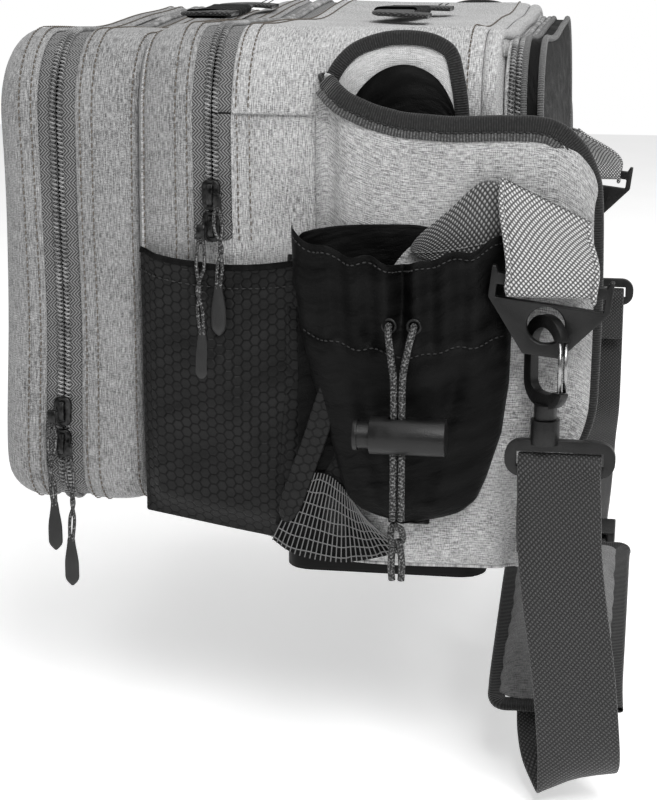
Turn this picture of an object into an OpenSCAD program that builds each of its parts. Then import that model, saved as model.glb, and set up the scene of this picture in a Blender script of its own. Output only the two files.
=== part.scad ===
// Ball tote bag with a shoulder strap. X runs along the bag, -Y is its front, +Z is up.
// The origin is the middle of the underside of the base.

/* [Body] */
// Half of the bag's length, end panel to end panel
half_l = 190; // [180:1:200]
// Height of the main compartment
body_h = 278; // [265:1:285]
// Radius of the shoulders where the ends turn into the top
shoulder_r = 45; // [38:1:50]
// Thickness of a padded wall
wall = 5; // [4:0.5:6]

/* [Front pocket] */
// Half length of the front pocket
front_half_l = 182; // [174:1:186]
// Top of the front pocket
front_h = 274; // [260:1:276]
// Underside of the front pocket above the floor
front_z = 30; // [24:1:34]

/* [Rear pocket] */
// Half length of the rear pocket
rear_half_l = 150; // [140:1:152]
// Top of the rear pocket
rear_h = 272; // [262:1:274]
// Underside of the rear pocket above the floor
rear_z = 40; // [34:1:44]

/* [End pockets] */
// Top of the slip pocket's outer wall
end_pocket_h = 232; // [225:1:234]
// Depth of the drawstring pocket, out from the end
drawstring_depth = 27; // [24:1:28]

/* [Strap] */
// Width of the shoulder webbing
strap_w = 40; // [38:1:41]
// Thickness of the webbing
strap_t = 1.6; // [1.4:0.1:1.8]
// Width of the shoulder pad
pad_w = 66; // [60:1:68]

/* [Hidden] */

heather = "#a3a5a8";
black = "#1c1c1e";
ripstop = "#26272a";
webbing_grey = "#4a4b4d";
tape_grey = "#5d6165";
steel_grey = "#9a9da1";
foam_grey = "#3a3b3d";

// Stations along Y
front_face_y = -155;
zip_front_y = -122;
seam_y = -80;
zip_main_y = -40;
back_y = 100;
zip_rear_y = 106;
rear_face_y = 119;

// Heights
base_t = 10;
panel_t = 4;
floor_z = base_t + panel_t;
lid_z = 236;
gusset_z = 232;
back_panel_z = 272;
zip_start_z = 172;

arc_steps = 7;
tape_gap = 0.3;
tape_half_w = 9.7;
tape_t = 1.6;
coil_w = 3.8;
coil_t = 3.6;

function arc(cx, cz, r, from, to) =
    [for (i = [0 : arc_steps]) let (a = from + (to - from) * i / arc_steps) [cx + r * cos(a), cz + r * sin(a)]];

// Outline of the bag seen from its front: a rectangle with round shoulders and smaller round feet
function outline(half, low, high, top_r, foot_r) = concat(
    arc(half - foot_r, low + foot_r, foot_r, -90, 0),
    arc(half - top_r, high - top_r, top_r, 0, 90),
    arc(top_r - half, high - top_r, top_r, 90, 180),
    arc(foot_r - half, low + foot_r, foot_r, 180, 270));

module along_y(y0, y1) {
    translate([0, y1, 0]) rotate([90, 0, 0]) linear_extrude(y1 - y0) children();
}

module along_x(x0, x1) {
    translate([x0, 0, 0]) rotate([90, 0, 90]) linear_extrude(x1 - x0) children();
}

module block(x0, x1, y0, y1, z0, z1) {
    translate([x0, y0, z0]) cube([x1 - x0, y1 - y0, z1 - z0]);
}

module both_ends() {
    children();
    mirror([1, 0, 0]) children();
}

// A closed band that follows the outline, t thick, standing grow outside it
module band(half, low, high, top_r, foot_r, y0, y1, t, grow = 0) {
    along_y(y0, y1) difference() {
        polygon(outline(half + grow, low - grow, high + grow, top_r + grow, foot_r + grow));
        polygon(outline(half + grow - t, low - grow + t, high + grow - t, top_r + grow - t, foot_r + grow - t));
    }
}

module main_band(y0, y1, t, grow = 0) {
    band(half_l, base_t, body_h, shoulder_r, 12, y0, y1, t, grow);
}

module front_band(y0, y1, t, grow = 0) {
    band(front_half_l, front_z, front_h, shoulder_r, 20, y0, y1, t, grow);
}

module rear_band(y0, y1, t, grow = 0) {
    band(rear_half_l, rear_z, rear_h, 40, 14, y0, y1, t, grow);
}

// Everything above a height
module above(z) {
    intersection() {
        children();
        block(-300, 300, -300, 300, z, 400);
    }
}

/* Main compartment */

// A flat plate with round corners, from z0 to z1
module along_z_plate(half, y0, y1, r, z0, z1) {
    translate([0, 0, z0]) linear_extrude(z1 - z0) polygon(outline(half, y0, y1, r, r));
}

// The underside is flat from base_front_y back, and slopes up from there to the front panel
base_front_y = -6;
slope_rise = 16;
cloth_front_y = seam_y + 4;
cloth_back_y = back_y - 5;

// Side view of the space above the floor, from a clearance over it up to a height
function above_floor(gap, y0, y1, top) = [
    [y0, floor_z + gap + slope_rise * (base_front_y - y0) / (base_front_y - cloth_front_y)],
    [base_front_y, floor_z + gap], [y1, floor_z + gap], [y1, top], [y0, top]];

module base_panel() {
    color(black) along_z_plate(184, base_front_y, 98, 14, 0, base_t);
}

module main_bottom_panel() {
    side = half_l - 6;
    color(heather) along_x(-side, side) polygon([
        [cloth_front_y, base_t + slope_rise], [base_front_y, base_t], [cloth_back_y, base_t],
        [cloth_back_y, floor_z], [base_front_y, floor_z], [cloth_front_y, floor_z + slope_rise]]);
}

module base_board() {
    board_t = 3;
    color(black) along_z_plate(half_l - 16, base_front_y + 2, back_y - 12, 12, floor_z, floor_z + board_t);
}

module main_front_panel() {
    low = base_t + slope_rise;
    color(heather) along_y(seam_y, cloth_front_y) polygon(outline(half_l - 6, low, back_panel_z, 42, 12));
}

module main_back_panel() {
    color(heather) along_y(back_y - 5, back_y) polygon(outline(half_l - 6, base_t, back_panel_z, 42, 12));
}

module main_end_panels() {
    color(heather) both_ends() along_x(half_l - wall, half_l)
        polygon(above_floor(0, cloth_front_y, cloth_back_y, gusset_z));
}

module main_top_gusset() {
    color(heather) above(gusset_z) main_band(cloth_front_y, zip_main_y - tape_half_w, wall);
}

module main_zip_tape_body() {
    inner = zip_main_y - tape_gap;
    color(tape_grey) {
        above(zip_start_z) {
            main_band(zip_main_y - tape_half_w, inner, tape_t, tape_t + 0.2);
            main_band(inner - coil_w, inner, coil_t, coil_t + 0.2);
        }
        difference() {
            above(zip_start_z) {
                main_band(zip_main_y + tape_gap, zip_main_y + tape_half_w, tape_t, tape_t + 0.2);
                main_band(zip_main_y + tape_gap, zip_main_y + tape_gap + coil_w, coil_t, coil_t + 0.2);
            }
            block(-300, 300, -300, 300, lid_z - 0.5, 400);
        }
    }
}

module ball_cup() {
    cup_r = 78;
    seat_r = 58;
    color(foam_grey) intersection() {
        translate([-84, 10, floor_z + 3]) difference() {
            cylinder(h = 34, r = cup_r, $fn = 64);
            translate([0, 0, -1]) cylinder(h = 36, r = seat_r, $fn = 64);
        }
        along_x(-half_l, half_l) polygon(above_floor(0.5, cloth_front_y, cloth_back_y, body_h));
    }
}

module divider_pad() {
    color(foam_grey) along_x(40, 46) polygon(above_floor(3.2, seam_y + 10, back_y - 12, 210));
}

/* Lid: the top of the main compartment, which folds back from the zip */

module lid_panel() {
    color(heather) above(lid_z) main_band(zip_main_y + tape_half_w, back_y - 8, wall);
}

module main_zip_tape_lid() {
    color(tape_grey) above(lid_z) {
        main_band(zip_main_y + tape_gap, zip_main_y + tape_half_w, tape_t, tape_t + 0.2);
        main_band(zip_main_y + tape_gap, zip_main_y + tape_gap + coil_w, coil_t, coil_t + 0.2);
    }
}

/* Front pocket */

module front_pocket_gusset() {
    color(heather) front_band(zip_front_y + tape_half_w, seam_y - 0.5, wall);
}

module front_tape_cut() {
    difference() {
        children();
        block(-130, 130, -300, 300, 0, 70);
    }
}

module front_zip_tape_body() {
    inner = zip_front_y + tape_gap;
    color(tape_grey) front_tape_cut() {
        front_band(inner, zip_front_y + tape_half_w, tape_t, 0);
        front_band(inner, inner + coil_w, coil_t, coil_t - tape_t);
    }
}

module front_zip_tape_cover() {
    inner = zip_front_y - tape_gap;
    color(tape_grey) front_tape_cut() {
        front_band(zip_front_y - tape_half_w, inner, tape_t, 0);
        front_band(inner - coil_w, inner, coil_t, coil_t - tape_t);
    }
}

// The cover is a shallow dish whose edge is eased in two steps
module front_cover() {
    rim_y = zip_front_y - tape_half_w;
    step_y = front_face_y + 8;
    color(heather) {
        front_band(step_y, rim_y, wall);
        along_y(front_face_y, front_face_y + 4)
            polygon(outline(front_half_l - 9, front_z + 9, front_h - 9, shoulder_r - 9, 12));
        along_y(front_face_y + 4, step_y)
            polygon(outline(front_half_l - 3, front_z + 3, front_h - 3, shoulder_r - 3, 17));
    }
}

/* Rear pocket */

rear_tape_w = 2.2;

module rear_pocket_gusset() {
    color(heather) rear_band(back_y + 0.4, zip_rear_y - rear_tape_w - tape_gap, 4);
}

module rear_tape_cut() {
    difference() {
        children();
        block(-120, 120, -300, 300, 0, 70);
    }
}

module rear_zip_tape_body() {
    inner = zip_rear_y - tape_gap;
    color(tape_grey) rear_tape_cut() rear_band(inner - rear_tape_w, inner, 4, 1.5);
}

module rear_zip_tape_cover() {
    inner = zip_rear_y + tape_gap;
    color(tape_grey) rear_tape_cut() rear_band(inner, inner + rear_tape_w, 4, 1.5);
}

module rear_cover() {
    rim_y = zip_rear_y + tape_gap + rear_tape_w;
    face_y = rear_face_y - 3;
    color(black) {
        rear_band(rim_y, face_y, 4);
        along_y(face_y, rear_face_y) polygon(outline(rear_half_l - 2, rear_z + 2, rear_h - 2, 38, 12));
    }
}

/* End pockets */

// Plan of the slip pocket: the outer line of its wall, and the inner line, open towards the bag
slip_outer = [
    [190.6, 14], [200, 19], [206, 34], [208, 60], [208, 100], [208, 125], [205, 140],
    [196, 149], [187, 147], [182, 138], [180, 124], [180, 100.6], [190.6, 100.6]
];
slip_inner = [
    [189, 24], [197, 24], [202, 38], [204, 60], [204, 100], [204, 124], [201, 137],
    [195, 144.5], [189, 143], [186, 137], [184, 124], [184, 99], [189, 99]
];
binding_h = 9;

module slip_wall(z0, z1) {
    both_ends() translate([0, 0, z0]) linear_extrude(z1 - z0) difference() {
        polygon(slip_outer);
        polygon(slip_inner);
    }
}

module end_pocket_panels() {
    low = floor_z;
    cloth = 2.5;
    color(heather) {
        slip_wall(low, end_pocket_h - binding_h);
        both_ends() translate([0, 0, low]) linear_extrude(cloth) polygon(slip_outer);
    }
}

module end_pocket_bindings() {
    color(black) slip_wall(end_pocket_h - binding_h, end_pocket_h);
}

module end_pocket_linings() {
    color("#c9cacb") both_ends() along_x(half_l + 0.6, half_l + 3) translate([55, 0]) polygon(outline(30, 30, 272, 28, 6));
}

module honeycomb_pockets() {
    rim = 2;
    outer_x = half_l + 8.5;
    low = 30;
    high = 168;
    color(ripstop) both_ends() {
        block(outer_x - rim, outer_x, -77, -1, low, high);
        block(half_l + 0.4, outer_x - rim, -77, -77 + rim, low, high);
        block(half_l + 0.4, outer_x - rim, -1 - rim, -1, low, high);
        block(half_l + 0.4, outer_x - rim, -77 + rim, -1 - rim, low, low + rim);
    }
}

pocket_back_x = half_l + 19;
pocket_mid_y = 56;
pocket_half_w = 52;

function half_ellipse(rx, ry, n = 20) =
    [for (i = [0 : n]) let (a = -90 + 180 * i / n) [pocket_back_x + rx * cos(a), pocket_mid_y + ry * sin(a)]];

module drawstring_pockets() {
    cloth = 2.5;
    low = 30;
    high = 178;
    color(black) both_ends() {
        translate([0, 0, low]) linear_extrude(cloth) polygon(half_ellipse(drawstring_depth, pocket_half_w));
        translate([0, 0, low]) linear_extrude(high - low) difference() {
            polygon(half_ellipse(drawstring_depth, pocket_half_w));
            translate([cloth, 0]) polygon(half_ellipse(drawstring_depth - 2 * cloth, pocket_half_w - 2 * cloth));
        }
    }
}

module mesh_gussets() {
    color(ripstop) both_ends() block(pocket_back_x - 0.4, pocket_back_x + 4, 4, 50, 15, 29.6);
}

/* Drawcords: two strands from the casing of each drawstring pocket, down through a lock to a knot */

cord_d = 3.5;
cord_x = 246.5;
cord_y = 61;
lock_z = 90;
strand_route = [
    [236, 6, 141], [239, 6, 140], [243, 5, 135], [246, 3.5, 127], [246.5, 2.2, 118], [246.5, 2, 108],
    [246.5, 2, 98], [246.5, 2, 88], [246.5, 2, 78], [246.5, 2, 68], [246.5, 2, 58], [246.5, 2, 48]
];

function unit(v) = v / norm(v);

// Direction of a route at point i
function heading(p, i) = unit(p[min(i + 1, len(p) - 1)] - p[max(i - 1, 0)]);

// Sweeps a round tube with eight sides along a route that stays close to one vertical plane
module tube(p, d) {
    sides = 8;
    points = [for (i = [0 : len(p) - 1]) let (t = heading(p, i), u = unit(cross(t, [0, 1, 0])), w = cross(u, t))
        for (k = [0 : sides - 1]) p[i] + d / 2 * (cos(360 * k / sides) * u + sin(360 * k / sides) * w)];
    walls = [for (i = [0 : len(p) - 2]) for (k = [0 : sides - 1]) let (a = i * sides + k, b = i * sides + (k + 1) % sides)
        [a, a + sides, b + sides, b]];
    first = [for (k = [0 : sides - 1]) k];
    last = [for (k = [sides - 1 : -1 : 0]) (len(p) - 1) * sides + k];
    polyhedron(points, concat(walls, [first, last]));
}

module drawcords() {
    color(black) both_ends() for (side = [-1, 1])
        tube([for (q = strand_route) [q[0], cord_y + side * q[1], q[2]]], cord_d);
}

module cord_knots() {
    color(black) both_ends() translate([cord_x, cord_y, 0]) {
        translate([0, 0, 34]) cylinder(h = 14, r = 5, $fn = 24);
        for (side = [-1, 1]) translate([0, side * 2.2, 18]) cylinder(h = 16, r = cord_d / 2, $fn = 16);
    }
}

lock_r = 9;
lock_y0 = 48;
lock_y1 = 84;
plunger_r = 6.5;

module cross_slot(y0, y1, half_x) {
    block(cord_x - half_x, cord_x + half_x, y0, y1, lock_z - 20, lock_z + 20);
}

module rod_y(y0, y1, r) {
    translate([cord_x, y0, lock_z]) rotate([-90, 0, 0]) cylinder(h = y1 - y0, r = r, $fn = 40);
}

module cord_lock() {
    color(black) difference() {
        rod_y(lock_y0, lock_y1, lock_r);
        rod_y(lock_y0 - 1, 78, plunger_r + 0.1);
        cross_slot(cord_y - 4.4, cord_y + 4.4, 2.6);
    }
}

module lock_plunger() {
    color(black) difference() {
        union() {
            rod_y(42, 71, plunger_r);
            rod_y(40, 42, plunger_r + 1);
        }
        cross_slot(50.8, 65.2, 2.8);
    }
}

module cord_lock_near() { cord_lock(); }
module lock_plunger_near() { lock_plunger(); }
module cord_lock_far() { mirror([1, 0, 0]) cord_lock(); }
module lock_plunger_far() { mirror([1, 0, 0]) lock_plunger(); }

/* Strap anchors and rings */

ring_x = 226;
ring_y = 131;
ring_z = 161;
ring_tilt = -7;
ring_half_t = 3;
hole_drop = 19;

module at_ring() {
    both_ends() translate([ring_x, ring_y, ring_z]) rotate([ring_tilt, 0, 0]) children();
}

module anchor_webbings() {
    web_half_w = 25;
    loop_outer = [[-5, -4.6], [5, -4.6], [5.2, 8], [-11, 50], [-16.6, 50], [-8, 8]];
    loop_inner = [[-3.2, -2.9], [3.2, -2.9], [3.4, 7], [-12, 47], [-14.6, 47], [-5.6, 7]];
    color(webbing_grey) at_ring() along_y(-web_half_w, web_half_w) difference() {
        polygon(loop_outer);
        polygon(loop_inner);
    }
}

module strap_rings() {
    plate = [[-29, 6], [-29, -9], [-9, -34], [9, -34], [29, -9], [29, 6], [27, 6], [25.6, 2.6], [-25.6, 2.6], [-27, 6]];
    color(black) at_ring() difference() {
        along_x(-2.6, 2.6) polygon(plate);
        block(-5, 5, -25.6, 25.6, -9, -2.6);
        translate([-5, 0, -hole_drop]) rotate([0, 90, 0]) cylinder(h = 10, r = 9, $fn = 48);
    }
}

/* Carry handles: each lies on the top and lifts about its sewn ends */

handle_half = 70;
handle_reach = 34;
handle_z = 283;
handle_t = 3;

module handle_webbing(y) {
    strip = 24;
    color(webbing_grey) translate([0, y, handle_z]) linear_extrude(handle_t) difference() {
        polygon(outline(handle_half, -handle_reach, 0, 2, 22));
        polygon(outline(handle_half - strip, -handle_reach + strip, 5, 2, 6));
    }
}

module handle_wrap(y) {
    color(black) translate([0, y, 0]) difference() {
        block(-38, 38, -handle_reach - 1.5, -8.5, handle_z - 1.6, handle_z + handle_t + 1.6);
        block(-40, 40, -handle_reach - 0.1, -9.9, handle_z - 0.1, handle_z + handle_t + 0.1);
    }
}

front_handle_y = -56;
rear_handle_y = 52;
module front_handle_webbing() { handle_webbing(front_handle_y); }
module front_handle_wrap() { handle_wrap(front_handle_y); }
module rear_handle_webbing() { handle_webbing(rear_handle_y); }
module rear_handle_wrap() { handle_wrap(rear_handle_y); }

/* Zip sliders and pulls */

module slider(x, y, z, half_w = 6) {
    color(black) {
        block(x, x + 3, y - half_w, y + half_w, z - 7, z + 7);
        block(x + 3, x + 5, y - 2, y + 2, z - 5, z + 5);
    }
}

module pull(x, y, z, reach) {
    grip_l = 28;
    color(black) {
        block(x, x + 2.4, y - 1.6, y + 1.6, z - reach + grip_l, z);
        block(x - 0.4, x + 2.8, y - 4, y + 4, z - reach, z - reach + grip_l);
    }
}

front_slide_x = front_half_l + 2.4;
main_slide_x = half_l + 4.2;
rear_slide_x = rear_half_l + 1.9;
module front_upper_slider() { slider(front_slide_x, zip_front_y, 80); }
module front_upper_pull() { pull(front_slide_x + 5.8, -126.4, 80, 74); }
module front_lower_slider() { slider(front_slide_x, zip_front_y, 63); }
module front_lower_pull() { pull(front_slide_x + 5.8, -117.6, 63, 76); }
module main_upper_slider() { slider(main_slide_x, zip_main_y, 196); }
module main_upper_pull() { pull(main_slide_x + 5.8, -35.6, 196, 70); }
module main_lower_slider() { slider(main_slide_x, zip_main_y, 180); }
module main_lower_pull() { pull(main_slide_x + 5.8, -44.4, 180, 78); }
module rear_slider() { slider(rear_slide_x, zip_rear_y, 160, 4); }
module rear_pull() { pull(rear_slide_x + 5.8, zip_rear_y, 160, 34); }

/* Shoulder strap */

loop_y = 137;
strap_route = [
    [238, 138, 34], [230, 137, 50], [222.5, 137, 66], [221.6, 137, 74], [223.5, 137, 78], [228.5, 137, 78],
    [230.4, 137, 74], [231, 137, 66], [236, 138, 52], [242, 139, 34], [245, 142, 10], [246, 147, -24],
    [245, 150, -54], [241, 151, -74], [233, 149, -84], [224, 145, -82], [215, 140, -75], [200, 137, -67],
    [180, 136, -60], [150, 136, -49], [120, 136, -39], [90, 136, -30], [60, 136, -23], [30, 136, -20],
    [0, 136, -18], [-60, 136, -22], [-120, 136, -20], [-165, 136, -12], [-205, 137, 0], [-223, 137, 30],
    [-231, 137, 60], [-230.4, 137, 74], [-228.5, 137, 78], [-223.5, 137, 78], [-221.6, 137, 74],
    [-221, 137, 64], [-214, 137, 46]
];

// Sweeps a flat band, whose width runs along Y, along a route in X and Z
module flat_band(p, width, thick, sink = 0) {
    points = [for (i = [0 : len(p) - 1])
        let (q = heading(p, i), n = unit([-q[2], 0, q[0]]), low = p[i] + (sink - thick / 2) * n, top = low + thick * n)
        for (c = [low - [0, width / 2, 0], low + [0, width / 2, 0], top + [0, width / 2, 0], top - [0, width / 2, 0]]) c];
    walls = [for (i = [0 : len(p) - 2]) for (k = [0 : 3]) let (a = 4 * i + k, b = 4 * i + (k + 1) % 4)
        [a, b, b + 4, a + 4]];
    end = 4 * (len(p) - 1);
    polyhedron(points, concat(walls, [[3, 2, 1, 0], [end, end + 1, end + 2, end + 3]]));
}

module strap_webbing() {
    color(webbing_grey) flat_band(strap_route, strap_w, strap_t);
}

module shoulder_pad() {
    pad_route = [for (i = [17 : 22]) strap_route[i]];
    pad_t = 9;
    color(ripstop) flat_band(pad_route, pad_w, pad_t, pad_t / 2 + strap_t / 2 + 0.1);
}

module tri_glide() {
    color(black) translate([30, 136, -20]) difference() {
        block(-14, 14, -25, 25, -5, 5);
        block(-15, 15, -20.5, 20.5, -3.4, 3.4);
    }
}

module strap_loops() {
    loop_half_t = 2.6;
    color(black) both_ends() translate([ring_x, 0, 0]) {
        difference() {
            along_x(-loop_half_t, loop_half_t) translate([loop_y, 0]) polygon(outline(26.5, 68, 86, 8, 8));
            block(-5, 5, loop_y - 21, loop_y + 21, 73, 80.5);
        }
        difference() {
            translate([0, swivel_y, 84]) cylinder(h = 12, r = 7, $fn = 40);
            translate([0, swivel_y, 87]) cylinder(h = 12, r = 2.6, $fn = 40);
        }
    }
}

swivel_y = 129.5;
hook_yaw = 40;
hook_t = 4.6;

module in_hook_plane() {
    translate([ring_x, swivel_y, 0]) rotate([0, 0, hook_yaw]) children();
}

module hook() {
    stem_z = 88;
    color(black) in_hook_plane() {
        difference() {
            along_y(-hook_t / 2, hook_t / 2) polygon(outline(15, 102, 147, 15, 12));
            along_y(-hook_t, hook_t) polygon(outline(9.5, 109, 141, 9.5, 6));
            block(7.5, 16, -hook_t, hook_t, 111, 136);
        }
        translate([0, 0, 96.4]) cylinder(h = 7, r = 5.5, $fn = 32);
        translate([0, 0, stem_z]) cylinder(h = 10, r = 2.5, $fn = 32);
    }
}

module hook_gate() {
    color(steel_grey) in_hook_plane() for (side = [-1, 1]) {
        translate([12.5, side * 1.6, 111.4]) cylinder(h = 24, r = 1, $fn = 16);
    }
}

module hook_near() { hook(); }
module hook_gate_near() { hook_gate(); }
module hook_far() { mirror([1, 0, 0]) hook(); }
module hook_gate_far() { mirror([1, 0, 0]) hook_gate(); }

base_panel();
base_board();
main_bottom_panel();
main_front_panel();
main_back_panel();
main_end_panels();
main_top_gusset();
main_zip_tape_body();
ball_cup();
divider_pad();
front_pocket_gusset();
front_zip_tape_body();
rear_pocket_gusset();
rear_zip_tape_body();
end_pocket_panels();
end_pocket_bindings();
end_pocket_linings();
honeycomb_pockets();
mesh_gussets();
drawstring_pockets();
drawcords();
cord_knots();
anchor_webbings();
strap_rings();
lid_panel();
main_zip_tape_lid();
front_cover();
front_zip_tape_cover();
rear_cover();
rear_zip_tape_cover();
front_handle_webbing();
front_handle_wrap();
rear_handle_webbing();
rear_handle_wrap();
front_upper_slider();
front_upper_pull();
front_lower_slider();
front_lower_pull();
main_upper_slider();
main_upper_pull();
main_lower_slider();
main_lower_pull();
rear_slider();
rear_pull();
cord_lock_near();
lock_plunger_near();
cord_lock_far();
lock_plunger_far();
strap_webbing();
shoulder_pad();
tri_glide();
strap_loops();
hook_near();
hook_gate_near();
hook_far();
hook_gate_far();
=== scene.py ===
"""The soft and finished look of a ball tote bag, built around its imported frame.

Lengths here are millimetres in the frame's own axes, and become metres when a mesh is made.
"""

import math

import bpy
import numpy as np
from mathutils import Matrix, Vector


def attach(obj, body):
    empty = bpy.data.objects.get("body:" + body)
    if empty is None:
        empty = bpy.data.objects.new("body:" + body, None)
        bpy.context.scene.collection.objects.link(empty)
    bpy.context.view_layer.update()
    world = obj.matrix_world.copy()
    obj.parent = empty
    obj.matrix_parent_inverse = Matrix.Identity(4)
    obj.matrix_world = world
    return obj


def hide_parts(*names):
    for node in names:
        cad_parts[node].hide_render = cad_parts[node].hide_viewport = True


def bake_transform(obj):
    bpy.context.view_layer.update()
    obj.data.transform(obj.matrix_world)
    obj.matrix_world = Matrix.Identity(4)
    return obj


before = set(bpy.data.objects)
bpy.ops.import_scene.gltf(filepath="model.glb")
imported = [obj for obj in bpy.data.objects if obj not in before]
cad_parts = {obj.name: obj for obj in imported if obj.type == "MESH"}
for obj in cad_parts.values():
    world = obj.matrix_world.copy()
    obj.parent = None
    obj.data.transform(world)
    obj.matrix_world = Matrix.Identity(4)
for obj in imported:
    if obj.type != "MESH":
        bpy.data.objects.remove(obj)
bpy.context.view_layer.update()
MM = 0.001
X_AXIS = np.array([1.0, 0.0, 0.0])
Y_AXIS = np.array([0.0, 1.0, 0.0])
Z_AXIS = np.array([0.0, 0.0, 1.0])


# ---------------------------------------------------------------- points and curves


def evenly(points, count):
    """The same line with count points spaced evenly along it."""
    steps = np.linalg.norm(np.diff(points, axis=0), axis=1)
    run = np.concatenate([[0.0], np.cumsum(steps)])
    at = np.linspace(0.0, run[-1], count)
    return np.stack([np.interp(at, run, points[:, k]) for k in range(points.shape[1])], 1)


def smooth_path(points, count):
    """A smooth curve through the points, with count points spaced evenly along it."""
    p = np.array(points, float)
    padded = np.vstack([2 * p[0] - p[1], p, 2 * p[-1] - p[-2]])
    t = np.linspace(0, 1, 20, endpoint=False)[:, None]
    parts = []
    for a, b, c, d in zip(padded, padded[1:], padded[2:], padded[3:]):
        cubic = 3 * b - a - 3 * c + d
        square = 2 * a - 5 * b + 4 * c - d
        parts.append(0.5 * (2 * b + (c - a) * t + square * t**2 + cubic * t**3))
    parts.append(p[-1:])
    return evenly(np.vstack(parts), count)


def unit(v):
    return v / np.maximum(np.linalg.norm(v, axis=-1, keepdims=True), 1e-9)


def tangents(path):
    return unit(np.gradient(path, axis=0))


def ease(x, low, high):
    """0 below low, 1 above high, and smooth between."""
    t = np.clip((x - low) / (high - low), 0, 1)
    return t * t * (3 - 2 * t)


def arc(cx, cz, r, start, end, count=10):
    a = np.radians(np.linspace(start, end, count))
    return np.stack([cx + r * np.cos(a), cz + r * np.sin(a)], 1)


def outline(half, low, high, top_r, foot_r, grow=0.0):
    """Closed outline of the bag from its front, in X and Z, from the middle of its underside round by +X."""
    half, low, high = half + grow, low - grow, high + grow
    top_r, foot_r = max(top_r + grow, 4), max(foot_r + grow, 4)
    right = np.vstack([
        [[0, low]],
        arc(half - foot_r, low + foot_r, foot_r, -90, 0),
        arc(half - top_r, high - top_r, top_r, 0, 90),
        [[0, high]],
    ])
    return np.vstack([right, right[-2::-1] * [-1, 1]])


MAIN = dict(half=190, low=10, high=278, top_r=45, foot_r=12)
MAIN_FRONT = dict(half=190, low=27, high=278, top_r=45, foot_r=16)
FRONT = dict(half=182, low=30, high=274, top_r=45, foot_r=20)
REAR = dict(half=150, low=40, high=272, top_r=40, foot_r=14)


def ring(shape, grow, count, above=None, half_gap=None):
    """Points along an outline. above keeps the arch over that height, half_gap leaves the underside open."""
    points = evenly(outline(grow=grow, **shape), 1200)
    if above is not None:
        points = points[points[:, 1] >= above]
    if half_gap is not None:
        points = points[(np.abs(points[:, 0]) >= half_gap) | (points[:, 1] > shape["low"] + 40)]
    return evenly(points, count)


def lift(xz, y):
    """Outline points placed at station y."""
    return np.stack([xz[:, 0], np.broadcast_to(y, xz[:, 0].shape), xz[:, 1]], 1)


SAG = 7.0


def slack(points):
    """How the filled bag settles: the top dips between its ends and every wall waves a little."""
    p = np.array(points, float)
    x, y, z = p[..., 0].copy(), p[..., 1].copy(), p[..., 2].copy()
    rise = ease(z, 190, 275)
    middle = np.cos(np.clip(x / 186, -1, 1) * math.pi / 2)
    front = 1 - 0.35 * ease(y, -130, -150)
    p[..., 2] -= SAG * rise * middle * front
    p[..., 2] += 1.3 * rise * np.sin(x / 31 + y / 47) * middle
    wall = ease(np.abs(x), 150, 180)
    p[..., 0] += np.sign(x) * wall * (1.1 * np.sin(z / 29 + y / 23) + 0.8 * np.sin(z / 17 - y / 41 + 1))
    p[..., 1] += 1.2 * np.sin(z / 37 + x / 53) * ease(z, 20, 60) * ease(np.abs(y), 60, 150)
    return p


# ---------------------------------------------------------------- materials


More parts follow.
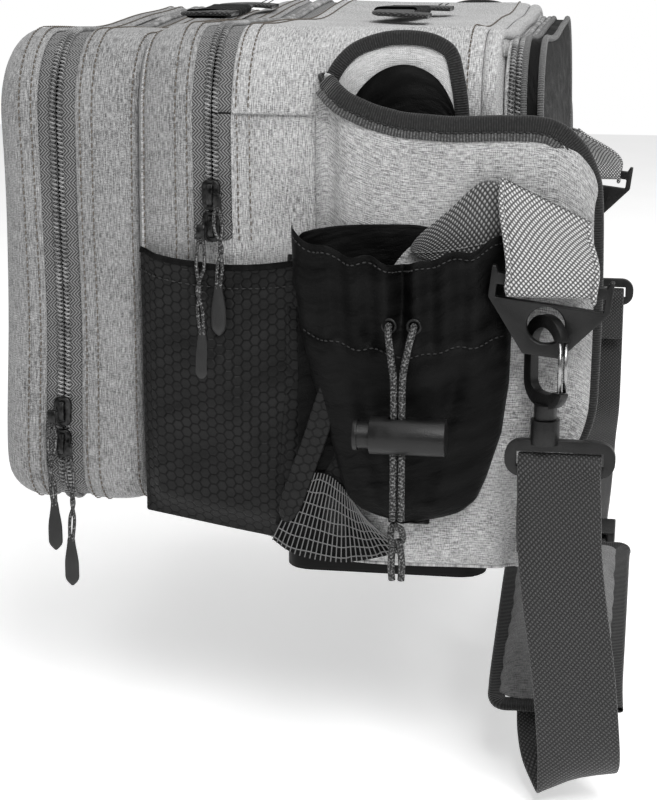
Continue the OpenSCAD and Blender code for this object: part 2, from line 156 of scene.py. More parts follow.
class Finish:
    """A procedural material: small helpers that add nodes and wire them to one shader."""

    def __init__(self, name, roughness=0.8, **values):
        self.material = bpy.data.materials.new(name)
        self.material.use_nodes = True
        self.tree = self.material.node_tree
        self.shader = self.tree.nodes["Principled BSDF"]
        self.set("Roughness", roughness)
        for key, value in values.items():
            self.set(key.replace("_", " "), value)

    def set(self, socket, value):
        self.shader.inputs[socket].default_value = value

    def wire(self, value, socket):
        if isinstance(value, bpy.types.NodeSocket):
            self.tree.links.new(value, socket)
        elif value is not None:
            socket.default_value = value

    def add(self, kind, inputs=(), **settings):
        node = self.tree.nodes.new(kind)
        for key, value in settings.items():
            setattr(node, key, value)
        for key, value in dict(inputs).items():
            self.wire(value, node.inputs[key])
        return node

    def math(self, operation, a, b=None):
        node = self.add("ShaderNodeMath", {0: a, 1: b}, operation=operation)
        return node.outputs[0]

    def vector(self, operation, a, b=None):
        node = self.add("ShaderNodeVectorMath", {0: a, 1: b}, operation=operation)
        return node.outputs["Value"] if operation == "DOT_PRODUCT" else node.outputs[0]

    def weave(self, scale=(1, 1, 1), turn=0.0):
        """The cloth's own coordinates in millimetres, scaled and turned."""
        uv = self.add("ShaderNodeUVMap", uv_map="weave").outputs[0]
        turned = self.add(
            "ShaderNodeMapping", {"Vector": uv, "Rotation": (0, 0, math.radians(turn))}
        )
        return self.vector("MULTIPLY", turned.outputs[0], tuple(1000 * s for s in scale))

    def space(self, scale=1.0):
        """Coordinates in the object's own space, in millimetres."""
        place = self.add("ShaderNodeTexCoord").outputs["Object"]
        return self.vector("MULTIPLY", place, (1000 * scale,) * 3)

    def noise(self, vector, scale=1.0, detail=2.0, low=0.3, high=0.7):
        raw = self.add("ShaderNodeTexNoise", {"Vector": vector, "Scale": scale, "Detail": detail})
        spread = self.add(
            "ShaderNodeMapRange", {"Value": raw.outputs[0], "From Min": low, "From Max": high}
        )
        return spread.outputs[0]

    def mix(self, factor, a, b):
        node = self.add("ShaderNodeMix", data_type="RGBA")
        self.wire(factor, node.inputs[0])
        self.wire(a, node.inputs[6])
        self.wire(b, node.inputs[7])
        return node.outputs[2]

    def wave(self, vector, axis, period):
        """A smooth ridge that repeats every period millimetres along axis, from 0 to 1."""
        along = self.add("ShaderNodeSeparateXYZ", {0: vector}).outputs[axis]
        turn = self.math("MULTIPLY", along, 2 * math.pi / period)
        return self.math("MULTIPLY", self.math("ADD", self.math("SINE", turn), 1.0), 0.5)

    def colour(self, socket):
        self.wire(socket, self.shader.inputs["Base Color"])
        return self

    def rough(self, socket):
        self.wire(socket, self.shader.inputs["Roughness"])
        return self

    def bump(self, height, distance_mm, strength=1.0):
        node = self.add(
            "ShaderNodeBump", {"Height": height, "Strength": strength, "Distance": distance_mm * MM}
        )
        self.wire(node.outputs[0], self.shader.inputs["Normal"])
        return self


def grey(level, warm=0.0):
    """A display grey from 0 to 255 as a linear colour, with a slight warm or cool cast."""
    value = level / 255
    linear = value / 12.92 if value <= 0.04045 else ((value + 0.055) / 1.055) ** 2.4
    return (linear * (1 + warm), linear, linear * (1 - warm), 1)


def plain_weave(f, grid, pitch):
    """Height of a plain weave: two crossed ridges."""
    return f.math("MULTIPLY", f.wave(grid, 0, pitch), f.wave(grid, 1, pitch))


def heather_cloth(name, dark, light):
    """Melange polyester: short light and dark threads in a fine plain weave."""
    f = Finish(name, 0.86, Sheen_Weight=0.25, Sheen_Roughness=0.5, Specular_IOR_Level=0.25)
    streak = f.noise(f.weave((0.22, 2.0, 1), 90), 1.0, 3.0, 0.38, 0.62)
    cross = f.noise(f.weave((2.0, 0.5, 1), 90), 1.0, 3.0, 0.38, 0.62)
    cloud = f.noise(f.weave((0.03, 0.03, 1)), 1.0, 2.0)
    blend = f.math("ADD", f.math("MULTIPLY", streak, 0.6), f.math("MULTIPLY", cross, 0.4))
    tone = f.mix(blend, grey(dark), grey(light))
    worn = f.mix(f.math("MULTIPLY", cloud, 0.22), tone, grey(light + 10))
    f.colour(worn)
    height = f.math("ADD", plain_weave(f, f.weave(), 0.9), f.math("MULTIPLY", blend, 0.8))
    return f.bump(height, 0.16).material


def hex_cells(f, size):
    """Distance to the edge of a honeycomb cell: 0 on the lines and rising inside."""
    place = f.weave((1 / size, 1 / size, 0))
    row = math.sqrt(3)
    nearest = None
    for shift in (0.0, 0.5):
        moved = f.vector("ADD", place, (shift, shift * row, 0))
        local = f.vector("SUBTRACT", moved, f.vector("MULTIPLY", f.vector("FLOOR", f.vector(
            "ADD", f.vector("DIVIDE", moved, (1, row, 1)), (0.5, 0.5, 0))), (1, row, 1)))
        local = f.vector("ABSOLUTE", local)
        slant = f.vector("DOT_PRODUCT", local, (0.5, row / 2, 0))
        flat = f.vector("DOT_PRODUCT", local, (1, 0, 0))
        reach = f.math("MAXIMUM", slant, flat)
        nearest = reach if nearest is None else f.math("MINIMUM", nearest, reach)
    return nearest


def honeycomb_cloth(name):
    """Black ripstop with a raised honeycomb grid and creases."""
    f = Finish(name, 0.55, Specular_IOR_Level=0.16)
    line = f.add("ShaderNodeMapRange", {"Value": hex_cells(f, 5.2), "From Min": 0.36, "From Max": 0.47})
    crease = f.noise(f.weave((0.06, 0.03, 1), 30), 1.0, 4.0)
    inner = f.mix(crease, grey(14), grey(32))
    f.colour(f.mix(line.outputs[0], inner, grey(3)))
    f.rough(f.math("ADD", f.math("MULTIPLY", crease, 0.18), 0.42))
    height = f.math("ADD", f.math("MULTIPLY", line.outputs[0], -0.6), f.math("MULTIPLY", crease, 3.0))
    return f.bump(height, 0.35).material


def nylon_cloth(name, dark, light):
    """Thin black nylon with faint creases and a slight shine."""
    f = Finish(name, 0.55, Specular_IOR_Level=0.07)
    crease = f.noise(f.weave((0.12, 0.035, 1), 12), 1.0, 5.0)
    fine = f.noise(f.weave((1.6, 1.6, 1)), 1.0, 2.0)
    f.colour(f.mix(crease, grey(dark), grey(light)))
    f.rough(f.math("ADD", f.math("MULTIPLY", crease, 0.2), 0.4))
    height = f.math("ADD", f.math("MULTIPLY", crease, 2.4), f.math("MULTIPLY", fine, 0.25))
    return f.bump(height, 0.45).material


def twill_webbing(name, dark, light, pitch, slant, contrast=1.0):
    """Heavy webbing: yarns in slanting rows of floats between gaps. The floats are lighter and the gaps darker,
    partly the yarns' own tone and partly painted highlight on the floats and painted shade in the gaps.
    """
    f = Finish(name, 0.6, Sheen_Weight=0.15, Specular_IOR_Level=0.4)
    across = f.wave(f.weave((1, 1, 1), slant), 0, pitch)
    along = f.wave(f.weave((1, 1, 1), slant + 90), 0, pitch * 1.25)
    float_yarn = f.math("MULTIPLY", across, along)
    fleck = f.noise(f.weave((1.4, 1.4, 1)), 1.0, 2.0)
    # Colour follows the float relief: painted highlight on the raised floats, painted shade in the gaps between
    # them.
    tone = f.math("MULTIPLY", float_yarn, f.math("ADD", f.math("MULTIPLY", fleck, 0.5), 0.9 * contrast))
    f.colour(f.mix(tone, grey(dark), grey(light)))
    return f.bump(float_yarn, 0.45).material


def ribbed_tape(name, dark, light, pitch, axis=0):
    """Grosgrain: close ribs across the tape."""
    f = Finish(name, 0.75, Sheen_Weight=0.2, Specular_IOR_Level=0.3)
    rib = f.wave(f.weave(), axis, pitch)
    fleck = f.noise(f.weave((0.8, 0.8, 1)), 1.0, 3.0)
    f.colour(f.mix(f.math("MULTIPLY", rib, fleck), grey(dark), grey(light)))
    return f.bump(rib, 0.35).material


def herringbone_tape(name):
    """Zip tape: slanting ribs that change direction from stripe to stripe."""
    f = Finish(name, 0.7, Sheen_Weight=0.2, Specular_IOR_Level=0.3)
    place = f.weave()
    parts = f.add("ShaderNodeSeparateXYZ", {0: place})
    fold = f.math("PINGPONG", parts.outputs[1], 3.2)
    slanted = f.math("ADD", parts.outputs[0], fold)
    turn = f.math("MULTIPLY", slanted, 2 * math.pi / 1.7)
    rib = f.math("MULTIPLY", f.math("ADD", f.math("SINE", turn), 1.0), 0.5)
    f.colour(f.mix(rib, grey(34), grey(132)))
    return f.bump(rib, 0.3).material


def moulded(name, level, rough=0.42, painted_highlight=0.0):
    """Moulded plastic with a fine spark-eroded grain and light scuffs; painted_highlight lifts the light end of
    the scuff blend further, as painted highlight.
    """
    f = Finish(name, rough, Specular_IOR_Level=0.35)
    grain = f.noise(f.space(1.6), 1.0, 3.0)
    scuff = f.noise(f.space(0.09), 1.0, 5.0, 0.45, 0.75)
    f.colour(f.mix(f.math("MULTIPLY", scuff, 0.6), grey(level), grey(level + 22 + painted_highlight)))
    f.rough(f.math("ADD", f.math("MULTIPLY", scuff, 0.15), rough - 0.05))
    return f.bump(grain, 0.06).material


def braided(name, dark, light):
    """Braided cord: crossing yarns with bright flecks."""
    f = Finish(name, 0.6, Specular_IOR_Level=0.4)
    one = f.wave(f.weave((1, 1, 1), 35), 0, 1.5)
    two = f.wave(f.weave((1, 1, 1), -35), 0, 1.5)
    yarn = f.math("MAXIMUM", one, two)
    fleck = f.noise(f.weave((0.9, 0.9, 1)), 1.0, 2.0, 0.45, 0.65)
    f.colour(f.mix(f.math("MULTIPLY", yarn, fleck), grey(dark), grey(light)))
    return f.bump(yarn, 0.35).material


def metal(name, level, rough):
    f = Finish(name, rough, Metallic=1.0)
    scratch = f.noise(f.space(0.4), 1.0, 5.0)
    f.colour(f.mix(scratch, grey(level - 20), grey(level + 20)))
    f.rough(f.math("ADD", f.math("MULTIPLY", scratch, 0.15), rough - 0.07))
    return f.bump(scratch, 0.03).material


def spun_thread(name, level, warm):
    f = Finish(name, 0.7, Specular_IOR_Level=0.3)
    ply = f.wave(f.space(), 2, 0.5)
    f.colour(f.mix(ply, grey(level, warm), grey(level + 35, warm)))
    return f.bump(ply, 0.1).material


def foam(name, level):
    f = Finish(name, 0.95, Specular_IOR_Level=0.2)
    cell = f.noise(f.space(0.9), 1.0, 4.0)
    f.colour(f.mix(cell, grey(level - 12), grey(level + 12)))
    return f.bump(cell, 0.3).material


HEATHER = heather_cloth("heather_cloth", 62, 206)
# A darker copy of the heather cloth: painted shade on the front gussets, the front cover and its hinge.
HEATHER_PAINTED_SHADE = heather_cloth("heather_cloth_painted_shade", 46, 170)
LINING = heather_cloth("lining_cloth", 150, 205)
HONEYCOMB = honeycomb_cloth("honeycomb_ripstop")
NYLON = nylon_cloth("black_nylon", 3, 20)
BASE_CLOTH = nylon_cloth("base_nylon", 14, 30)
# The anchor webbing is mid grey; its very light float colour is painted highlight from the strong light it
# catches.
ANCHOR_WEB = twill_webbing("anchor_webbing", 60, 220, 1.55, 38, 1.5)
# A darker copy of the anchor webbing: painted shade on the layer behind.
ANCHOR_WEB_PAINTED_SHADE = twill_webbing("anchor_webbing_painted_shade", 34, 165, 1.55, 38, 1.1)
PAD_CLOTH = heather_cloth("pad_cloth", 60, 124)
STRAP_WEB = twill_webbing("strap_webbing", 3, 74, 1.5, 45)
HANDLE_WEB = twill_webbing("handle_webbing", 4, 78, 1.5, 45)
BINDING = ribbed_tape("binding_tape", 6, 52, 1.2)
BINDING_RIB = ribbed_tape("binding_rib", 40, 118, 1.5)
PIPING = ribbed_tape("grey_piping", 70, 118, 1.2)
ZIP_TAPE = herringbone_tape("zip_tape")
# The coil is black: its light grey colour and the lifted light blotches are painted highlight.
COIL = moulded("zip_coil_painted_highlight", 120, 0.25, 60)
PLASTIC = moulded("black_plastic", 8)
GRIP = moulded("pull_grip", 30, 0.5)
SLIDER = metal("slider_metal", 46, 0.36)
STEEL = metal("gate_steel", 150, 0.28)
CORD = braided("braided_cord", 18, 130)
THREAD_DARK = spun_thread("thread_dark", 74, 0.16)
THREAD_BLACK = spun_thread("thread_black", 26, 0.0)
THREAD_GREY = spun_thread("thread_grey", 96, 0.0)
FOAM = foam("foam_grey", 58)
BOARD = foam("board_black", 34)


# ---------------------------------------------------------------- meshes


def make_object(name, points, faces, material, corner_uv=None):
    mesh = bpy.data.meshes.new(name)
    mesh.from_pydata((np.asarray(points, float) * MM).tolist(), [], faces)
    layer = mesh.uv_layers.new(name="weave")
    if corner_uv is not None:
        layer.data.foreach_set("uv", (np.asarray(corner_uv, float) * MM).ravel())
    mesh.polygons.foreach_set("use_smooth", np.ones(len(mesh.polygons), bool))
    mesh.materials.append(material)
    mesh.update()
    obj = bpy.data.objects.new(name, mesh)
    bpy.context.scene.collection.objects.link(obj)
    return obj


def run_length(grid, axis):
    """Mean distance travelled along one axis of a grid of points."""
    steps = np.linalg.norm(np.diff(grid, axis=axis), axis=2).mean(axis=1 - axis)
    return np.concatenate([[0.0], np.cumsum(steps)])


def grid_faces(rows, cols, around):
    across = cols if around else cols - 1
    r, c = np.meshgrid(np.arange(rows - 1), np.arange(across), indexing="ij")
    r, c = r.ravel(), c.ravel()
    n = (c + 1) % cols
    faces = np.stack([r * cols + c, r * cols + n, (r + 1) * cols + n, (r + 1) * cols + c], 1)
    corners = np.stack([np.stack([r, c], 1), np.stack([r, c + 1], 1),
                        np.stack([r + 1, c + 1], 1), np.stack([r + 1, c], 1)], 1)
    return faces, corners


def skin(name, grid, material, thick=0.0, offset=-1.0, around=False, caps=False, subdivide=0):
    """A sheet through a grid of points. thick gives it a second side, and caps closes a tube's ends."""
    rows, cols = grid.shape[:2]
    faces, corners = grid_faces(rows, cols, around)
    closed = np.concatenate([grid, grid[:, :1]], 1) if around else grid
    u, v = run_length(closed, 1), run_length(grid, 0)
    uv = np.stack([v[corners[..., 0]], u[corners[..., 1]]], -1).reshape(-1, 2)
    face_list = faces.tolist()
    if caps:
        face_list.append(list(range(cols)))
        face_list.append([(rows - 1) * cols + k for k in range(cols - 1, -1, -1)])
        uv = np.vstack([uv, np.zeros((2 * cols, 2))])
    obj = make_object(name, grid.reshape(-1, 3), face_list, material, uv)
    if thick:
        solid = obj.modifiers.new("thickness", "SOLIDIFY")
        solid.thickness = thick * MM
        solid.offset = offset
    if subdivide:
        smooth = obj.modifiers.new("smooth", "SUBSURF")
        smooth.levels = smooth.render_levels = subdivide
    return obj


def frames(path, up):
    """Side and lift directions along a path; up is one vector or one for each point."""
    t = tangents(path)
    up = np.broadcast_to(np.asarray(up, float), path.shape)
    side = unit(np.cross(t, up))
    return side, unit(np.cross(side, t))


def carried_frames(path):
    """Side and lift directions that turn as little as they can along a path."""
    t = tangents(path)
    start = X_AXIS if abs(t[0] @ X_AXIS) < 0.9 else Y_AXIS
    lifts = [unit(start - (start @ t[0]) * t[0])]
    for i in range(1, len(path)):
        last = lifts[-1] - (lifts[-1] @ t[i]) * t[i]
        lifts.append(unit(last))
    lift_dir = np.array(lifts)
    return unit(np.cross(t, lift_dir)), lift_dir


def sweep_grid(path, profile, up=None, scale=None):
    path = np.asarray(path, float)
    side, rise = carried_frames(path) if up is None else frames(path, up)
    size = np.ones(len(path)) if scale is None else np.asarray(scale)
    flat = profile[None] * size[:, None, None]
    return path[:, None] + flat[..., :1] * side[:, None] + flat[..., 1:] * rise[:, None]


def sweep(name, path, profile, material, up=None, scale=None, caps=True, subdivide=0):
    """Carries a closed profile along a path."""
    grid = sweep_grid(path, profile, up, scale)
    return skin(name, grid, material, around=True, caps=caps, subdivide=subdivide)


def round_profile(rx, ry, count=10):
    a = np.linspace(0, 2 * math.pi, count, endpoint=False)
    return np.stack([rx * np.cos(a), ry * np.sin(a)], 1)


def slab_profile(width, thick, edge=3):
    """A flat strap's section: straight faces and round edges."""
    r = thick / 2
    a = np.linspace(-math.pi / 2, math.pi / 2, edge + 2)
    right = np.stack([width / 2 - r + r * np.cos(a), r * np.sin(a)], 1)
    inner = np.linspace(width / 2 - r, r - width / 2, 8)[1:-1]
    top = np.stack([inner, np.full(6, r)], 1)
    return np.vstack([right, top, -right, -top])


def merged(name, parts, material, body):
    """One object from several lists of points and faces."""
    points, faces, base = [], [], 0
    for p, f in parts:
        points.append(p)
        faces += [[base + k for k in face] for face in f]
        base += len(p)
    obj = make_object(name, np.vstack(points), faces, material)
    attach(obj, body)
    return obj


STITCH_FACES = [[0, 1 + k, 1 + (k + 1) % 4] for k in range(4)]
STITCH_FACES += [[1 + k, 5 + k, 5 + (k + 1) % 4, 1 + (k + 1) % 4] for k in range(4)]
STITCH_FACES += [[9, 5 + (k + 1) % 4, 5 + k] for k in range(4)]


def stitch_parts(path, pitch=3.4, dash=2.5, radius=0.42):
    """Separate stitches of thread that lie along a path."""
    path = np.asarray(path, float)
    length = np.linalg.norm(np.diff(path, axis=0), axis=1).sum()
    count = max(int(length / pitch), 2)
    spots = evenly(path, count)
    t = tangents(spots)
    side = unit(np.cross(t, np.array([0.31, 0.47, 0.83])))
    rise = np.cross(t, side)
    parts = []
    for p, d, s, r in zip(spots, t, side, rise):
        loop = [s, r, -s, -r]
        points = [p - d * dash / 2]
        points += [p - d * dash * 0.3 + radius * q for q in loop]
        points += [p + d * dash * 0.3 + radius * q for q in loop]
        points.append(p + d * dash / 2)
        parts.append((np.array(points), STITCH_FACES))
    return parts


def stitches(name, paths, material, body, pitch=3.4, dash=2.5, radius=0.42):
    parts = []
    for path in paths:
        parts += stitch_parts(path, pitch, dash, radius)
    obj = merged(name, parts, material, body)
    return obj


def mirrored(points):
    """The same points at the other end of the bag."""
    return np.asarray(points, float) * [-1, 1, 1]


def at_end(grid, end):
    """A grid for end 1 or its mirror for end -1, with its faces still turned outward."""
    return grid if end > 0 else mirrored(grid)[:, ::-1]


ENDS = {"near": 1, "far": -1}


def dress(node, material, bevel=0.5):
    """Gives a carried-over CAD node softened edges and its own material."""
    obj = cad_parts[node]
    obj.data.materials.clear()
    obj.data.materials.append(material)
    obj.data.polygons.foreach_set("use_smooth", np.ones(len(obj.data.polygons), bool))
    weld = obj.modifiers.new("weld", "WELD")
    weld.merge_threshold = 0.02 * MM
    if bevel:
        round_off = obj.modifiers.new("bevel", "BEVEL")
        round_off.width = bevel * MM
        round_off.segments = 3
        round_off.limit_method = "ANGLE"
        round_off.angle_limit = math.radians(32)
        round_off.harden_normals = True
    return obj


# ---------------------------------------------------------------- camera, light and floor


def add_camera():
    place, target = Vector((1.159, 0.1805, 0.3284)), Vector((0.200, 0.020, 0.095))
    data = bpy.data.cameras.new("camera")
    data.lens = 90
    data.sensor_width = 36
    camera = bpy.data.objects.new("camera", data)
    camera.location = place
    camera.rotation_euler = (target - place).to_track_quat("-Z", "Y").to_euler()
    bpy.context.scene.collection.objects.link(camera)
    bpy.context.scene.camera = camera


def add_light(name, place, target, size, power):
    data = bpy.data.lights.new(name, "AREA")
    data.size = size
    data.energy = power
    lamp = bpy.data.objects.new(name, data)
    lamp.location = place
    lamp.rotation_euler = (Vector(target) - Vector(place)).to_track_quat("-Z", "Y").to_euler()
    bpy.context.scene.collection.objects.link(lamp)


WORLD_LIGHT = 0.34


def add_stage():
    bpy.context.scene.view_settings.view_transform = "Standard"
    world = bpy.data.worlds.new("studio")
    world.use_nodes = True
    tree = world.node_tree
    soft_light = tree.nodes["Background"]
    soft_light.inputs[1].default_value = WORLD_LIGHT
    soft_light.inputs[0].default_value = (1, 1, 1, 1)
    backdrop = tree.nodes.new("ShaderNodeBackground")
    backdrop.inputs[0].default_value = (1, 1, 1, 1)
    seen = tree.nodes.new("ShaderNodeLightPath")
    either = tree.nodes.new("ShaderNodeMixShader")
    tree.links.new(seen.outputs["Is Camera Ray"], either.inputs[0])
    tree.links.new(soft_light.outputs[0], either.inputs[1])
    tree.links.new(backdrop.outputs[0], either.inputs[2])
    tree.links.new(either.outputs[0], tree.nodes["World Output"].inputs[0])
    bpy.context.scene.world = world
    middle = (0, 0, 0.12)
    add_light("key", (1.1, 0.5, 1.15), middle, 0.7, 16)
    add_light("top", (0.1, 0.1, 1.7), middle, 1.4, 12)
    add_light("rear", (-1.2, 1.4, 1.2), middle, 1.4, 9)
    floor_z = -0.1
    corners = [(-3e3, -3e3, floor_z / MM), (3e3, -3e3, floor_z / MM), (3e3, 3e3, floor_z / MM),
               (-3e3, 3e3, floor_z / MM)]
    f = Finish("floor_white", 0.9)
    f.colour(f.mix(f.noise(f.space(0.01), 1.0, 1.0), grey(250), grey(254)))
    f.set("Emission Color", (1, 1, 1, 1))
    f.set("Emission Strength", 0.42)
    make_object("floor", corners, [(0, 1, 2, 3)], f.material)


add_camera()
add_stage()


# ---------------------------------------------------------------- drawcords

CORD_D = 3.5
CORD_X, CORD_Y = 246.5, 61
STRAND_ROUTE = [
    (236, 6, 141), (239, 6, 140), (243, 5, 135), (246, 3.5, 127), (246.5, 2.2, 118), (246.5, 2, 108),
    (246.5, 2, 98), (246.5, 2, 88), (246.5, 2, 78), (246.5, 2, 68), (246.5, 2, 58), (246.5, 2, 48),
]


def knot_path():
    """An overhand knot that gathers both strands."""
    a = np.linspace(0, 2 * math.pi, 70)
    x = 2.3 * np.sin(a * 2) + 0.5 * np.cos(a)
    y = 3.0 * np.cos(a)
    z = 41 + 4.6 * np.sin(a) + 0.8 * np.sin(3 * a)
    return np.stack([CORD_X + x, CORD_Y + y, z], 1)


def tail_path(side):
    return smooth_path([
        (CORD_X, CORD_Y + side * 1.2, 38), (CORD_X + 0.4, CORD_Y + side * 2.2, 32),
        (CORD_X, CORD_Y + side * 2.6, 25), (CORD_X - 0.3, CORD_Y + side * 2.2, 18),
    ], 16)


def add_drawcords():
    for end, sign in ENDS.items():
        knot = sweep(f"cord_knot_{end}", at_side(knot_path(), sign), round_profile(1.7, 1.7), CORD)
        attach(knot, "bag")
        for k, side in enumerate((-1, 1)):
            tail = sweep(f"cord_tail_{end}_{k + 1}", at_side(tail_path(side), sign),
                         round_profile(1.75, 1.75), CORD)
            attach(tail, "bag")
        for k, side in enumerate((-1, 1)):
            route = np.array([(x, CORD_Y + side * y, z) for x, y, z in STRAND_ROUTE], float)
            path = at_side(smooth_path(route, 60), sign)
            strand = sweep(f"drawcord_{end}_{k + 1}", path, round_profile(CORD_D / 2, CORD_D / 2), CORD)
            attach(strand, "bag")
            if end == "near" and k == 0:
                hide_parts("drawcords")
        if end == "near":
            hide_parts("cord_knots")


def at_side(points, sign):
    return np.asarray(points, float) * [sign, 1, 1]


# ---------------------------------------------------------------- fabric bands round the bag


def band_rows(shape, stations, count, above=None, half_gap=None):
    """Rows of points: one outline for each (y, grow) station, smoothed across."""
    return np.array([lift(ring(shape, g, count, above, half_gap), y) for y, g in stations])


def seam_line(shape, y, grow, above=None, half_gap=None, count=700):
    return slack(lift(ring(shape, grow, count, above, half_gap), y))


def add_band(name, shape, stations, body, material, above=None, count=240, thick=2.0, half_gap=None):
    grid = slack(band_rows(shape, stations, count, above, half_gap))
    if stations[-1][0] > stations[0][0]:
        grid = grid[::-1]
    band = skin(name, grid, material, thick=thick, offset=-1.0, subdivide=1)
    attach(band, body)
    return band


FRONT_GUSSET = [(-112.6, 0.0), (-112.5, 1.1), (-111.4, 1.7), (-107, 1.9), (-100, 2.4), (-92, 2.0),
                (-86, 0.8), (-82.5, -0.6), (-80.5, -2.0), (-80, -4.0)]
MAIN_GUSSET = [(-80, -9.0), (-79.6, -7.0), (-77.5, -4.6), (-73.5, -1.2), (-68, 1.0), (-61, 2.0),
               (-54, 1.9), (-51, 1.7), (-49.9, 1.1), (-49.8, 0.1)]


def add_front_gusset():
    # The front gusset takes the darker heather copy: painted shade.
    band = add_band("front_gusset", FRONT, FRONT_GUSSET, "bag", HEATHER_PAINTED_SHADE)
    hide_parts("front_pocket_gusset")
    rows = [seam_line(FRONT, -109.6, 2.15), seam_line(FRONT, -103.4, 2.45), seam_line(FRONT, -83.6, 0.2)]
    stitches("front_gusset_stitching", rows, THREAD_DARK, "bag")


def add_main_gusset():
    """The cloth between the front pocket's seam and the main zip, over the top and down both ends."""
    # The main gusset takes the darker heather copy: painted shade.
    band = add_band("main_gusset", MAIN_FRONT, MAIN_GUSSET, "bag", HEATHER_PAINTED_SHADE)
    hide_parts("main_top_gusset")
    rows = [seam_line(MAIN_FRONT, -52.6, 2.2, 150), seam_line(MAIN_FRONT, -58.6, 2.3, 150),
            seam_line(MAIN_FRONT, -75.8, -2.4)]
    stitches("main_gusset_stitching", rows, THREAD_DARK, "bag")


COVER_RIM = [(-131.4, 0.0), (-131.5, 1.1), (-132.6, 1.8), (-137, 2.2), (-142, 1.5), (-147, -0.6),
             (-151.5, -4.5), (-154.5, -10.0), (-156.2, -18.0)]


def cover_grid(rim, inner, count=240):
    rows = [lift(ring(FRONT, g, count), y) for y, g in rim]
    middle_z = (FRONT["low"] + FRONT["high"]) / 2
    last = rows[-1]
    for share, y in inner:
        shrunk = last.copy()
        shrunk[:, 0] *= share
        shrunk[:, 2] = middle_z + (last[:, 2] - middle_z) * share
        shrunk[:, 1] = y
        rows.append(shrunk)
    grid = np.array(rows)
    lean = ease(-grid[..., 1], 136, 157) * (240 - grid[..., 2]) * 0.011
    grid[..., 1] -= lean
    return slack(grid)


def add_front_cover():
    """The front pocket's padded face: a shallow dish that opens from its top."""
    inner = [(0.93, -157.2), (0.8, -157.8), (0.6, -158.2), (0.35, -158.4), (0.12, -158.4), (0.001, -158.4)]
    # The front cover takes the darker heather copy: painted shade.
    cover = skin("front_cover_shell", cover_grid(COVER_RIM, inner), HEATHER_PAINTED_SHADE, thick=2.4, subdivide=1)
    lay_weave(cover.data, (2, 0), 0.7)
    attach(cover, "front_cover")
    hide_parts("front_cover")
    rows = [seam_line(FRONT, -134.4, 2.3), seam_line(FRONT, -140.6, 2.0)]
    row = stitches("front_cover_stitching", rows, THREAD_DARK, "front_cover")
    x = np.linspace(-132, 132, 60)
    z = FRONT["low"] - 1.2
    strip = np.array([slack(np.stack([x, np.full(60, y), np.full(60, z + 0.4 * math.sin(y))], 1))
                      for y in np.linspace(-134, -110, 13)])
    # The hinge cloth takes the darker heather copy: painted shade.
    hinge = skin("front_hinge_cloth", strip, HEATHER_PAINTED_SHADE, thick=1.2, offset=0)
    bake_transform(hinge)


def end_wall_rows(end, y, high):
    """The end of the main compartment below the lid, from the zip to the back corner."""
    level = np.linspace(0, 1, 44)
    yy, ll = np.meshgrid(y, level, indexing="ij")
    low = underside(yy) + 0.4
    zz = low + (high - low) * ll
    corner = 9 * ease(yy, 90, 101) ** 2
    foot = 7 * (1 - ease(zz - low, 0, 16)) ** 2
    bulge = 1.2 * np.sin((yy + 50) / 150 * math.pi) * np.sin(np.clip(zz, 10, 236) / 236 * math.pi)
    edge = 1.4 * ease(yy, -24, -30.2) * (1 - ease(yy, -31, -34))
    tuck = 1.6 * ease(zz, 228, 237)
    grid = np.stack([190 + bulge + edge - corner - foot - tuck, yy, zz], -1)
    return at_end(slack(grid), end)[::-1]


def underside(y):
    """Height of the bag's underside, which slopes up in front of the base."""
    ahead = -np.asarray(y, float)
    return MAIN["low"] + 7 * ease(ahead, -2, 16) + 11 * ease(ahead, 8, 80)


def add_end_walls():
    """Each end wall in two pieces, so that the main zip runs down between its upper part and the gusset."""
    behind = np.concatenate([[-30.3, -30.2, -29.6, -28], np.linspace(-24, 92, 28), [96, 99, 100.4]])
    under = np.concatenate([[-50.6], np.linspace(-50, -27, 8)])
    for name, sign in ENDS.items():
        wall = skin(f"end_wall_{name}", end_wall_rows(sign, behind, 238.5), HEATHER, thick=3.0, subdivide=1)
        lower = skin(f"end_wall_foot_{name}", end_wall_rows(sign, under, 174.0), HEATHER, thick=3.0,
                     subdivide=1)
        for obj in (wall, lower):
            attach(obj, "bag")
        if sign > 0:
            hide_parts("main_end_panels")
            row = np.stack([np.full(40, 191.8), np.full(40, -26.9), np.linspace(174, 234, 40)], 1)
            row_b = row + [-0.1, 6.2, 0]
            rows = [slack(row), slack(row_b)]
        else:
            rows = [mirrored(q) for q in rows]
        stitches(f"end_wall_stitching_{name}", rows, THREAD_DARK, "bag")


def add_underside():
    """The cloth bottom, which slopes up to the front, and its join with the main panels."""
    y = np.concatenate([np.linspace(-80, -8, 14), np.linspace(0, 99, 12)])
    x = np.linspace(-185, 185, 60)
    yy, xx = np.meshgrid(y, x, indexing="ij")
    sag = 1.5 * np.sin(xx / 60) * ease(-yy, 5, 40)
    grid = np.stack([xx, yy, underside(yy) + 0.3 + sag * 0.4], -1)
    cloth = skin("bottom_cloth", grid, HEATHER, thick=2.0, offset=1, subdivide=1)
    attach(cloth, "bag")
    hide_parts("main_bottom_panel")


def add_back_shoulders():
    """The strips at both ends between the lid's back seam and the back panel."""
    stations = [(92.4, -2.2), (93.2, -0.4), (95.0, 0.5), (98, 0.4), (100.2, -1.2), (100.9, -5)]
    rows = band_rows(MAIN, stations, 300, above=234)
    for name, sign in ENDS.items():
        keep = (rows[0][:, 0] * sign > 0) & (rows[0][:, 2] < 276.5)
        strip = skin(f"back_shoulder_{name}", slack(rows[:, keep])[::-1], HEATHER, thick=2.0, subdivide=1)
        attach(strip, "bag")


LID_ROWS = [(-30.2, 0.1), (-30.1, 1.1), (-29.0, 1.7), (-25, 1.9), (-15, 1.6), (5, 1.0), (30, 0.8),
            (60, 1.0), (80, 1.6), (88, 1.4), (92, 0.8), (93.4, -0.4)]


